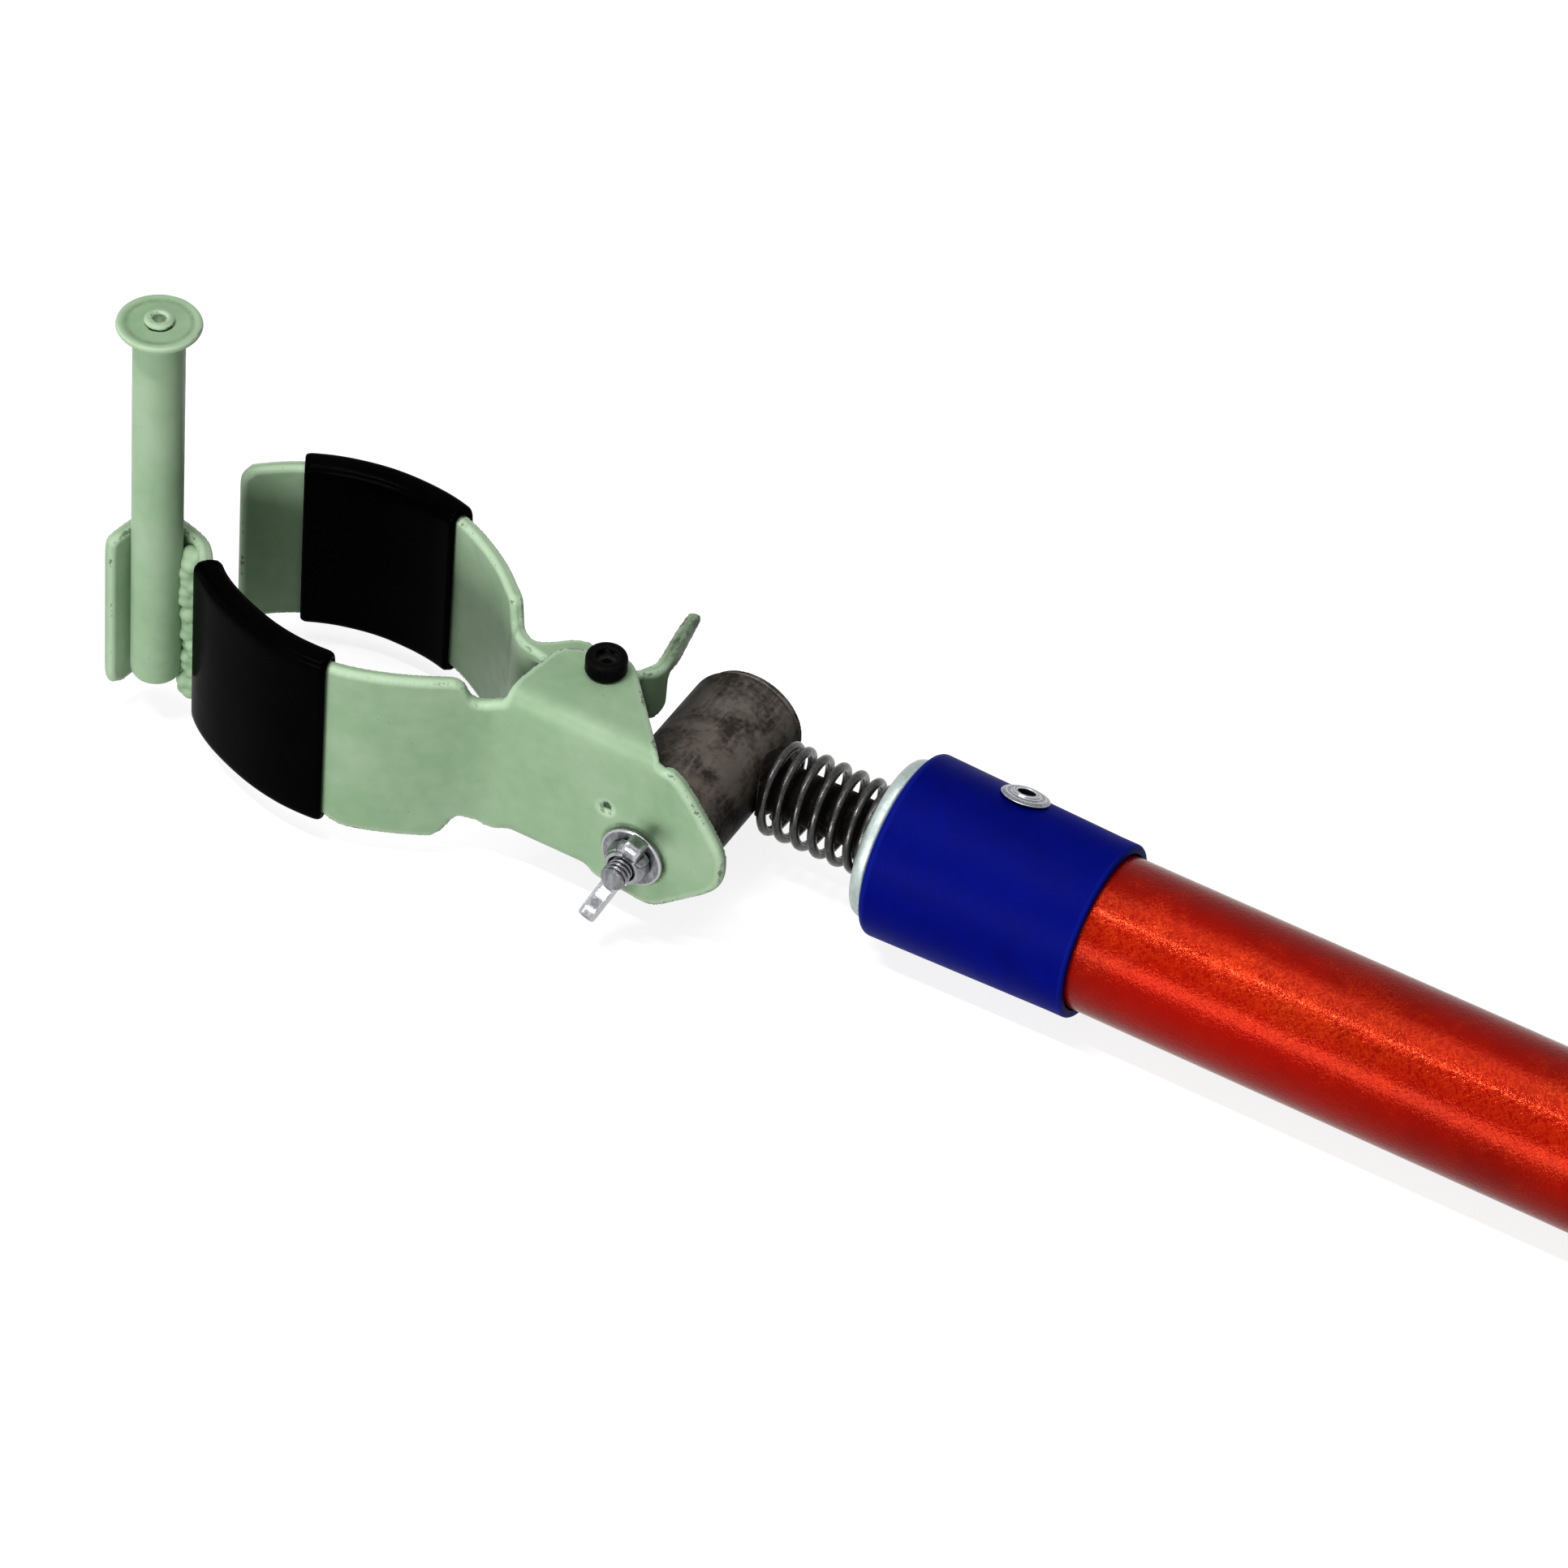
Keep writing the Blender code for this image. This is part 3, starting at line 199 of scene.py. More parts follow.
class Graph:
    """Short calls that add nodes to a shader or geometry tree."""

    def __init__(self, tree: bpy.types.NodeTree) -> None:
        """Keep the tree that the nodes go into."""
        self.tree = tree

    def feed(self, socket: Socket, value: object) -> None:
        """Link a socket to an input, or set the input's value.

        Args:
            socket: The input.
            value: A socket or a plain value. A colour of three numbers gets its alpha.
        """
        if isinstance(value, bpy.types.NodeSocket):
            self.tree.links.new(value, socket)
        elif socket.type == "RGBA":
            socket.default_value = (*value, 1.0)
        else:
            socket.default_value = value

    def node(self, kind: str, inputs: dict | None = None, **settings: object) -> bpy.types.Node:
        """Add a node.

        Args:
            kind: Blender's name of the node's type.
            inputs: Values or sockets, by input name or number.
            **settings: Properties of the node.

        Returns:
            The node.
        """
        made = self.tree.nodes.new(kind)
        for key, value in settings.items():
            setattr(made, key, value)
        for key, value in (inputs or {}).items():
            self.feed(made.inputs[key], value)
        return made

    def out(self, kind: str, inputs: dict | None = None, output: int | str = 0, **settings: object) -> Socket:
        """Add a node and return one of its outputs."""
        return self.node(kind, inputs, **settings).outputs[output]

    def math(self, operation: str, *values: object, clamp: bool = False) -> Socket:
        """Add a Math node and return its value."""
        return self.out("ShaderNodeMath", dict(enumerate(values)), operation=operation, use_clamp=clamp)

    def times(self, first: object, second: object) -> Socket:
        """Multiply two values."""
        return self.math("MULTIPLY", first, second)

    def plus(self, first: object, second: object, clamp: bool = False) -> Socket:
        """Add two values."""
        return self.math("ADD", first, second, clamp=clamp)

    def span(self, value: object, low: object, high: object, out_low: float = 0.0,
             out_high: object = 1.0) -> Socket:
        """Map a value from one span to another, clamped."""
        inputs = {"Value": value, "From Min": low, "From Max": high, "To Min": out_low, "To Max": out_high}
        return self.out("ShaderNodeMapRange", inputs, "Result")

    def between(self, share: object, low: float, high: float) -> Socket:
        """Turn a share from 0 to 1 into a value between two bounds."""
        return self.span(share, 0.0, 1.0, low, high)

    def noise(self, place: object, scale: object, detail: float = 2.0, distortion: float = 0.0) -> Socket:
        """Add a Noise Texture and return its value."""
        inputs = {"Vector": place, "Scale": scale, "Detail": detail, "Distortion": distortion}
        return self.out("ShaderNodeTexNoise", inputs, "Fac")

    def layers(self, colour: object, *laid: tuple[object, object]) -> Socket:
        """Lay colours over a first one.

        Args:
            colour: The first colour.
            *laid: For each layer, its share and its colour.

        Returns:
            The mixed colour.
        """
        for share, over in laid:
            colour = self.out("ShaderNodeMix", {0: share, 6: colour, 7: over}, 2, data_type="RGBA")
        return colour

    def place(self) -> Socket:
        """Return the Object coordinates."""
        return self.out("ShaderNodeTexCoord", output="Object")

    def vector(self, *values: object) -> Socket:
        """Combine three numbers into a vector."""
        return self.out("ShaderNodeCombineXYZ", dict(enumerate(values)))

    def stretched(self, place: object, factors: object) -> Socket:
        """Multiply a place by a vector, which draws a pattern out."""
        return self.out("ShaderNodeVectorMath", {0: place, 1: factors}, operation="MULTIPLY")

    def attribute(self, name: str) -> Socket:
        """Return an attribute of the mesh."""
        return self.out("ShaderNodeAttribute", output="Fac", attribute_name=name)

    def effect(self, texture: Texture, **values: object) -> Socket:
        """Place a shared effect and return what it puts out. In the names of its inputs _ is a space."""
        inputs = {key.replace("_", " "): value for key, value in values.items()}
        return self.out("ShaderNodeGroup", inputs, node_tree=effect_tree(texture))


class Effect(Graph):
    """The node group of one shared effect."""

    wear_start: float = 1.06
    wear_end: float = 1.16
    speck_blur: float = 0.05

    def __init__(self, texture: Texture) -> None:
        """Build the group with the method that has the effect's name.

        Args:
            texture: The effect.
        """
        output, inputs = texture.value
        name = texture.name.lower()
        super().__init__(bpy.data.node_groups.new(name, "ShaderNodeTree"))
        new_socket = self.tree.interface.new_socket
        for label, value in inputs.items():
            new_socket(label, in_out="INPUT", socket_type="NodeSocketFloat").default_value = value
        new_socket(output, in_out="OUTPUT", socket_type="NodeSocketFloat")
        self.given = self.node("NodeGroupInput").outputs
        self.feed(self.node("NodeGroupOutput").inputs[0], getattr(self, name)())

    def scaled_noise(self, place: Socket, factor: float, detail: float) -> Socket:
        """Return a noise whose scale is the given scale times a factor."""
        return self.noise(place, self.times(self.given["Scale"], factor), detail)

    def banded(self, value: Socket) -> Socket:
        """Spread a value between the given low and high."""
        return self.span(value, self.given["Low"], self.given["High"])

    def mottle(self) -> Socket:
        """Build soft clouds of two sizes.

        Returns:
            The clouds, from 0 to 1.
        """
        place = self.place()
        broad = self.noise(place, self.given["Scale"], 3.0, 0.4)
        mixed = self.plus(self.times(broad, 0.7), self.times(self.scaled_noise(place, 6.3, 2.0), 0.3))
        raised = self.times(self.math("SUBTRACT", mixed, 0.5), self.given["Contrast"])
        return self.math("MULTIPLY_ADD", raised, 3.0, 0.5, clamp=True)

    def grain(self) -> Socket:
        """Build a fine height that breaks up a smooth skin.

        Returns:
            The height.
        """
        place = self.place()
        fine = self.noise(place, self.given["Scale"], 2.0)
        return self.plus(self.times(fine, 0.4), self.scaled_noise(place, 0.18, 1.0))

    def streaks(self) -> Socket:
        """Build lines drawn out by an amount along each axis.

        Returns:
            The lines, from 0 to 1.
        """
        factors = self.vector(*(self.given[f"Along {axis}"] for axis in "XYZ"))
        return self.banded(self.noise(self.stretched(self.place(), factors), self.given["Scale"], 3.0, 0.6))

    def specks(self) -> Socket:
        """Build scattered specks: a share of the cells of a Voronoi pattern holds one.

        Returns:
            The mask of the specks.
        """
        place = self.place()
        bent = self.scaled_noise(place, 2.0, 1.0)
        cells = self.node("ShaderNodeTexVoronoi", {"Vector": place, "Scale": self.given["Scale"]}).outputs
        reach = self.times(self.given["Size"], self.plus(bent, 0.5))
        inside = self.span(self.math("SUBTRACT", reach, cells["Distance"]), 0.0, self.speck_blur)
        draw = self.out("ShaderNodeSeparateColor", {0: cells["Color"]})
        return self.times(inside, self.math("LESS_THAN", draw, self.given["Share"]))

    def wear(self) -> Socket:
        """Build a ragged mask that eats into an edge.

        Returns:
            The mask of what is worn off.
        """
        place = self.place()
        ragged = self.noise(place, self.given["Scale"], 4.0, 0.5)
        level = self.plus(self.times(ragged, 0.6), self.times(self.scaled_noise(place, 0.12, 1.0), 0.7))
        reach = self.times(self.given["Edge"], self.given["Amount"])
        return self.span(self.plus(level, reach), self.wear_start, self.wear_end)

    def winding(self) -> Socket:
        """Build threads that are wound round a turned piece at an angle, on its unrolled skin.

        Returns:
            The threads, from 0 to 1.
        """
        skin = self.out("ShaderNodeUVMap", uv_map=UNROLLED)
        turned = self.out("ShaderNodeVectorRotate", {"Vector": skin, "Angle": self.given["Angle"]},
                          rotation_type="Z_AXIS")
        place = self.stretched(turned, self.vector(self.given["Stretch"], 1.0, 1.0))
        return self.banded(self.noise(place, self.given["Scale"], 2.0, 0.3))


@cache
def effect_tree(texture: Texture) -> bpy.types.NodeTree:
    """Return the group of an effect, built once."""
    return Effect(texture).tree


@dataclass(frozen=True)
class Surface:
    """What varies over a surface, and how deep its bump goes, in metres at a share of its strength."""

    colour: Socket
    roughness: Socket
    height: Socket
    depth: float
    strength: float


@dataclass(frozen=True)
class Finish:
    """A surface finish. What is the same all over is set on the shader, and paint() gives what varies."""

    name: str
    slot: str
    colour: Colour
    roughness: float = 0.4
    metallic: float = 0.0
    specular: float = 0.5
    tint: Colour = (1.0, 1.0, 1.0)
    # How fast the painted shade at the rims grows.
    rim_power: float = 1.3

    @cache
    def material(self) -> bpy.types.Material:
        """Return the material, built once.

        Returns:
            The material.
        """
        made = bpy.data.materials.new(self.name)
        made.use_nodes = True
        made.diffuse_color = (*self.colour, 1.0)
        graph = Graph(made.node_tree)
        surface = self.paint(graph)
        bump = graph.out("ShaderNodeBump", {"Height": surface.height, "Distance": surface.depth,
                                            "Strength": surface.strength}, "Normal")
        even = {"Base Color": self.colour, "Roughness": self.roughness, "Metallic": self.metallic,
                "Specular IOR Level": self.specular, "Specular Tint": self.tint}
        varied = {"Base Color": surface.colour, "Roughness": surface.roughness, "Normal": bump}
        for label, value in (*even.items(), *varied.items()):
            graph.feed(made.node_tree.nodes["Principled BSDF"].inputs[label], value)
        return made

    def paint(self, graph: Graph) -> Surface:
        """Build what varies over the surface."""
        raise NotImplementedError

    def rim(self, graph: Graph, colour: Socket, dark: Colour, share: float) -> Socket:
        """Darken a colour where the surface turns away from the eye, as a painted shade at the rims.

        Args:
            graph: The material's graph.
            colour: The colour.
            dark: The colour of the painted shade at the rim.
            share: How much of it shows.

        Returns:
            The colour with its painted rim shade.
        """
        away = graph.out("ShaderNodeLayerWeight", {"Blend": 0.5}, "Facing")
        turned = graph.math("POWER", away, self.rim_power)
        return graph.layers(colour, (graph.math("MULTIPLY", turned, share, clamp=True), dark))


@dataclass(frozen=True)
class SagePaint(Finish):
    """Sprayed sage-green enamel: clouds, edges lightened by wear and a painted highlight, nooks darkened by
    grime and painted shade, specks, and a worn lever.
    """

    name: str = "sage_green_paint"
    slot: str = "green_paint"
    colour: Colour = linear(150, 174, 144)
    shade: Colour = linear(130, 160, 125)
    # Lighter edges: wear, and a painted highlight where rounded edges catch the light.
    rubbed: Colour = linear(182, 206, 176)
    # Dark of the nooks and specks: grime, and in the nooks also painted shade.
    dirt: Colour = linear(74, 92, 62)
    chip: Colour = linear(60, 62, 52)
    bare: Colour = linear(66, 76, 62)
    roughness: float = 0.34
    specular: float = 0.10
    rubbed_share: float = 0.7
    speck_share: float = 0.5
    chip_share: float = 0.7

    def paint(self, graph: Graph) -> Surface:
        """Layer the clouds, the worn and painted-highlight edges, the grime and painted shade in the nooks,
        specks, the worn lever and chips.

        Args:
            graph: The material's graph.

        Returns:
            What varies over the paint.
        """
        edge = graph.attribute(EDGE)
        clouds = graph.effect(Texture.MOTTLE, Scale=42.0, Contrast=1.1)
        # Blotches that break up the darkened nooks and vary the roughness.
        grime = graph.effect(Texture.MOTTLE, Scale=260.0, Contrast=1.2)
        # Nooks darkened by grime and painted shade.
        nook = graph.times(graph.span(graph.attribute(NOOK), 0.05, 0.75),
                           graph.span(grime, 0.2, 0.8, 0.35, 0.9))
        specks = graph.effect(Texture.SPECKS, Scale=420.0, Share=0.09, Size=0.10)
        rubs = graph.effect(Texture.STREAKS, Scale=700.0, Along_Y=0.35, Along_Z=0.3, Low=0.44, High=0.62)
        worn = graph.times(graph.attribute(GRIP), graph.between(rubs, 0.55, 1.0))
        chips = graph.effect(Texture.WEAR, Edge=edge, Scale=900.0, Amount=0.42)
        colour = graph.layers(
            self.shade, (clouds, self.colour), (graph.times(edge, self.rubbed_share), self.rubbed),
            (nook, self.dirt), (graph.times(specks, self.speck_share), self.dirt), (worn, self.bare),
            (graph.times(chips, self.chip_share), self.chip))
        return Surface(colour, graph.between(grime, 0.32, 0.46), graph.effect(Texture.GRAIN, Scale=1100.0),
                       depth=0.16 * MM, strength=0.5)


@dataclass(frozen=True)
class BlackVinyl(Finish):
    """Dipped black vinyl with a soft sheen, smudges and fine lint."""

    name: str = "black_vinyl"
    slot: str = "black_vinyl"
    colour: Colour = (0.0003, 0.0003, 0.0003)
    lint: Colour = (0.007, 0.0068, 0.0066)
    roughness: float = 0.25
    specular: float = 0.005
    smudge_share: float = 0.06

    def paint(self, graph: Graph) -> Surface:
        """Layer smudges and lint.

        Args:
            graph: The material's graph.

        Returns:
            What varies over the vinyl.
        """
        smudge = graph.effect(Texture.MOTTLE, Scale=70.0, Contrast=1.1)
        lint = graph.effect(Texture.SPECKS, Scale=700.0, Share=0.08, Size=0.1)
        smudged = graph.times(smudge, self.smudge_share)
        colour = graph.layers(self.colour, (smudged, self.lint), (lint, self.lint))
        return Surface(colour, graph.between(smudge, 0.14, 0.24), graph.effect(Texture.GRAIN, Scale=420.0),
                       depth=0.2 * MM, strength=0.45)


@dataclass(frozen=True)
class BlueVinyl(Finish):
    """Deep blue moulded vinyl, lighter at its edges with wear and a painted sheen."""

    name: str = "blue_vinyl"
    slot: str = "blue_vinyl"
    colour: Colour = linear(1, 10, 112)
    deep: Colour = linear(0, 5, 94)
    rubbed: Colour = linear(18, 34, 138)
    roughness: float = 0.42
    specular: float = 0.02
    scuff_share: float = 0.12
    rubbed_share: float = 0.3

    def paint(self, graph: Graph) -> Surface:
        """Layer clouds, scuffs, and edges lightened by wear and a painted sheen.

        Args:
            graph: The material's graph.

        Returns:
            What varies over the vinyl.
        """
        clouds = graph.effect(Texture.MOTTLE, Scale=40.0, Contrast=1.0)
        scuffs = graph.effect(Texture.SPECKS, Scale=260.0, Share=0.06, Size=0.12)
        # The scuffs are wear; the lighter edges are wear and a painted sheen.
        colour = graph.layers(
            self.deep, (clouds, self.colour), (graph.times(scuffs, self.scuff_share), self.rubbed),
            (graph.times(graph.attribute(EDGE), self.rubbed_share), self.rubbed))
        return Surface(colour, graph.between(clouds, 0.44, 0.58), graph.effect(Texture.GRAIN, Scale=500.0),
                       depth=0.03 * MM, strength=0.4)


@dataclass(frozen=True)
class RedFibreglass(Finish):
    """Pigmented fibreglass: red resin over glass fibre that shows through as orange threads under a thin
    gloss. The threads and flecks are painted brightest in a strip along the pole that faces the lamp, which
    is a painted highlight, and the rims carry a painted shade.
    """

    name: str = "red_fibreglass"
    slot: str = "fibreglass"
    colour: Colour = linear(152, 4, 1)
    deep: Colour = linear(122, 1, 0)
    # Orange of the threads, also laid on as a painted highlight along the lamp's streak.
    thread: Colour = linear(226, 70, 22)
    # Colour of the painted shade at the pole's rims.
    dark: Colour = linear(88, 2, 0)
    roughness: float = 0.2
    metallic: float = 0.13
    specular: float = 0.10
    tint: Colour = (1.0, 0.50, 0.22)
    # Where the painted highlight lies: a way across the pole and the span along it that faces the lamp's
    # streak.
    band_way: Point = (0.0, -0.528, 0.849)
    band_low: float = 12.5 * MM
    band_high: float = 18.6 * MM
    ridge_power: float = 7.0
    fleck_width: float = 0.035
    rim_share: float = 0.8

    def paint(self, graph: Graph) -> Surface:
        """Layer resin clouds, the flecks of dry fibre and the wound threads, which show most in a painted
        highlight along the pole, and darken the rims as painted shade.

        Args:
            graph: The material's graph.

        Returns:
            What varies over the pole.
        """
        place = graph.place()
        clouds = graph.effect(Texture.MOTTLE, Scale=22.0, Contrast=1.2)
        rising = graph.effect(Texture.WINDING, Scale=1700.0, Angle=0.7, Stretch=0.35)
        falling = graph.effect(Texture.WINDING, Scale=1500.0, Angle=-0.8, Stretch=0.4)
        weave = graph.math("MAXIMUM", rising, falling)
        crackle = graph.math("ABSOLUTE", graph.math("SUBTRACT", graph.noise(place, 620.0, 4.0, 2.2), 0.5))
        flecks = graph.span(crackle, 0.0, self.fleck_width, 1.0, 0.0)
        patches = graph.effect(Texture.MOTTLE, Scale=46.0, Contrast=2.0)
        # Painted highlight: a strip along the pole that faces the lamp, where the orange threads show
        # strongly and dry flecks show more often.
        toward = graph.out("ShaderNodeVectorMath", {0: place, 1: self.band_way}, "Value",
                           operation="DOT_PRODUCT")
        highlight_band = graph.span(toward, self.band_low, self.band_high)
        highlight_ridge = graph.math("POWER", highlight_band, self.ridge_power)
        dry = graph.times(graph.times(flecks, graph.span(patches, 0.45, 0.9, 0.0, 0.65)),
                          graph.math("MULTIPLY_ADD", highlight_band, 0.8, 0.2))
        # The threads show faintly everywhere and strongly in the painted highlight.
        highlight_threads = graph.times(weave, graph.math("MULTIPLY_ADD", highlight_ridge, 0.2, 0.006))
        shown = graph.plus(dry, highlight_threads, clamp=True)
        colour = graph.layers(self.deep, (clouds, self.colour), (shown, self.thread))
        height = graph.plus(weave, graph.effect(Texture.GRAIN, Scale=2400.0))
        # Painted shade where the pole turns away from the eye.
        colour = self.rim(graph, colour, self.dark, self.rim_share)
        return Surface(colour, graph.between(patches, 0.13, 0.2), height, depth=0.06 * MM, strength=0.45)


@dataclass(frozen=True)
class ScaledSteel(Finish):
    """Raw steel with dark mill scale, worn through in fine lines and patches, and a painted shade at its
    rims.
    """

    name: str = "scaled_steel"
    slot: str = "scaled_steel"
    colour: Colour = linear(118, 111, 104)
    dark: Colour = linear(56, 51, 47)
    bright: Colour = linear(146, 138, 130)
    rust: Colour = linear(96, 70, 52)
    # Colour of the painted shade at the rims.
    black: Colour = linear(22, 19, 16)
    roughness: float = 0.5
    specular: float = 0.02
    line_share: float = 0.35
    pit_share: float = 0.5
    worn_share: float = 0.6
    rim_share: float = 1.5

    def paint(self, graph: Graph) -> Surface:
        """Layer scale, worn lines, a little rust and the painted shade at the rims.

        Args:
            graph: The material's graph.

        Returns:
            What varies over the steel.
        """
        patches = graph.effect(Texture.MOTTLE, Scale=120.0, Contrast=1.8)
        lines = graph.effect(Texture.STREAKS, Scale=900.0, Along_Y=0.16, Low=0.56, High=0.7)
        pits = graph.effect(Texture.SPECKS, Scale=900.0, Share=0.3, Size=0.2)
        rusty = graph.effect(Texture.MOTTLE, Scale=60.0, Contrast=2.2)
        worn = graph.effect(Texture.WEAR, Edge=graph.attribute(EDGE), Scale=600.0, Amount=0.6)
        colour = graph.layers(
            self.dark, (patches, self.colour), (graph.span(rusty, 0.6, 1.0, 0.0, 0.16), self.rust),
            (graph.times(lines, self.line_share), self.bright),
            (graph.times(pits, self.pit_share), self.dark),
            (graph.times(worn, self.worn_share), self.bright))
        height = graph.math("SUBTRACT", patches, graph.times(pits, 0.6))
        # Painted shade where the surface turns away from the eye.
        colour = self.rim(graph, colour, self.black, self.rim_share)
        return Surface(colour, graph.between(patches, 0.58, 0.42), height, depth=0.1 * MM, strength=0.6)


@dataclass(frozen=True)
class BareMetal(Finish):
    """Plated or drawn metal: dull clouds, drawn lines, painted shade with some grime in the nooks, and edges
    brightened as a painted highlight.
    """

    name: str = "zinc_plate"
    slot: str = "zinc"
    colour: Colour = (0.22, 0.22, 0.235)
    dull: Colour = (0.10, 0.10, 0.108)
    bright: Colour = (0.56, 0.57, 0.60)
    # Dark of the nooks, such as the rivets' bores: painted shade with some grime.
    dirt: Colour = (0.020, 0.019, 0.017)
    roughness: float = 0.24
    metallic: float = 0.95
    cloud: float = 160.0
    line_share: float = 0.25
    edge_share: float = 0.6
    smoothest: float = 0.75
    roughest: float = 1.35

    def paint(self, graph: Graph) -> Surface:
        """Layer the clouds, the lines, the painted highlight on the edges and the painted shade in the nooks.

        Args:
            graph: The material's graph.

        Returns:
            What varies over the metal.
        """
        clouds = graph.effect(Texture.MOTTLE, Scale=self.cloud, Contrast=1.1)
        lines = graph.effect(Texture.STREAKS, Scale=1500.0, Along_Z=0.2, Low=0.42, High=0.64)
        # Edges are brightened as a painted highlight, and nooks are darkened as painted shade.
        colour = graph.layers(
            self.dull, (clouds, self.colour), (graph.times(lines, self.line_share), self.bright),
            (graph.times(graph.attribute(EDGE), self.edge_share), self.bright),
            (graph.span(graph.attribute(NOOK), 0.05, 0.7, 0.0, 0.85), self.dirt))
        rough = graph.between(clouds, self.roughness * self.roughest, self.roughness * self.smoothest)
        height = graph.plus(clouds, graph.times(lines, 0.4))
        return Surface(colour, rough, height, depth=0.05 * MM, strength=0.5)


@dataclass(frozen=True)
class Moulded(Finish):
    """Moulded rubber or foam: clouds, specks and a fine grain."""

    name: str = "cap_rubber"
    slot: str = "cap_rubber"
    colour: Colour = (0.016, 0.016, 0.016)
    dust: Colour = (0.05, 0.048, 0.044)
    roughness: float = 0.68
    spread: float = 0.1
    grain: float = 900.0
    cloud_share: float = 0.5
    speck_share: float = 0.3

    def paint(self, graph: Graph) -> Surface:
        """Layer dust and specks.

        Args:
            graph: The material's graph.

        Returns:
            What varies over the moulding.
        """
        clouds = graph.effect(Texture.MOTTLE, Scale=70.0, Contrast=1.4)
        specks = graph.effect(Texture.SPECKS, Scale=self.grain, Share=0.3, Size=0.3)
        colour = graph.layers(self.colour, (graph.times(clouds, self.cloud_share), self.dust),
                              (graph.times(specks, self.speck_share), self.dust))
        rough = graph.between(clouds, self.roughness - self.spread, self.roughness + self.spread)
        height = graph.effect(Texture.GRAIN, Scale=self.grain)
        return Surface(colour, rough, height, depth=0.2 * MM, strength=0.5)


SAGE = SagePaint()
VINYL = BlackVinyl()
COLLAR_BLUE = BlueVinyl()
FIBREGLASS = RedFibreglass()
SCALE = ScaledSteel()
OILED_STEEL = ScaledSteel(name="oiled_steel", colour=linear(22, 20, 18), dark=linear(10, 9, 8),
                          bright=linear(60, 56, 52), rust=linear(30, 24, 18))
ZINC = BareMetal()
PLUG_ZINC = BareMetal(name="plug_zinc", colour=(0.40, 0.47, 0.45), dull=(0.26, 0.32, 0.30),
                      bright=(0.60, 0.66, 0.64), roughness=0.42, metallic=0.75, cloud=120.0)
SPRING_WIRE = BareMetal(name="spring_wire", slot="spring_steel", colour=(0.050, 0.048, 0.046),
                        dull=(0.024, 0.023, 0.022), bright=(0.13, 0.13, 0.125), roughness=0.27, cloud=400.0)
RIVET_METAL = BareMetal(name="rivet_aluminium", slot="rivet", colour=(0.20, 0.21, 0.235),
                        dull=(0.12, 0.125, 0.14), bright=(0.62, 0.64, 0.66), roughness=0.3, cloud=500.0)
BLACK_OXIDE = BareMetal(name="black_oxide", slot="black_oxide", colour=(0.002, 0.002, 0.002),
                        dull=(0.0005, 0.0005, 0.0005), bright=(0.005, 0.005, 0.005), roughness=0.3,
                        metallic=0.0, specular=0.012, cloud=300.0)
RUBBER = Moulded()
FOAM = Moulded(name="core_foam", slot="foam", colour=(0.62, 0.52, 0.30), dust=(0.74, 0.66, 0.44),
               roughness=0.85)


@dataclass(frozen=True)
class NodeBox:
    """Where a CAD node stands."""

    low: Vector
    high: Vector

    @classmethod
    def of(cls, node: str) -> "NodeBox":
        """Read the box of a CAD node."""
        return cls(*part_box(node))

    @property
    def centre(self) -> Vector:
        """Middle of the box."""
        return (self.low + self.high) / 2

    @property
    def size(self) -> Vector:
        """Lengths of the box's sides."""
        return self.high - self.low

    @property
    def start(self) -> Vector:
        """Middle of the box's side at low X."""
        return Vector((self.low.x, self.centre.y, self.centre.z))


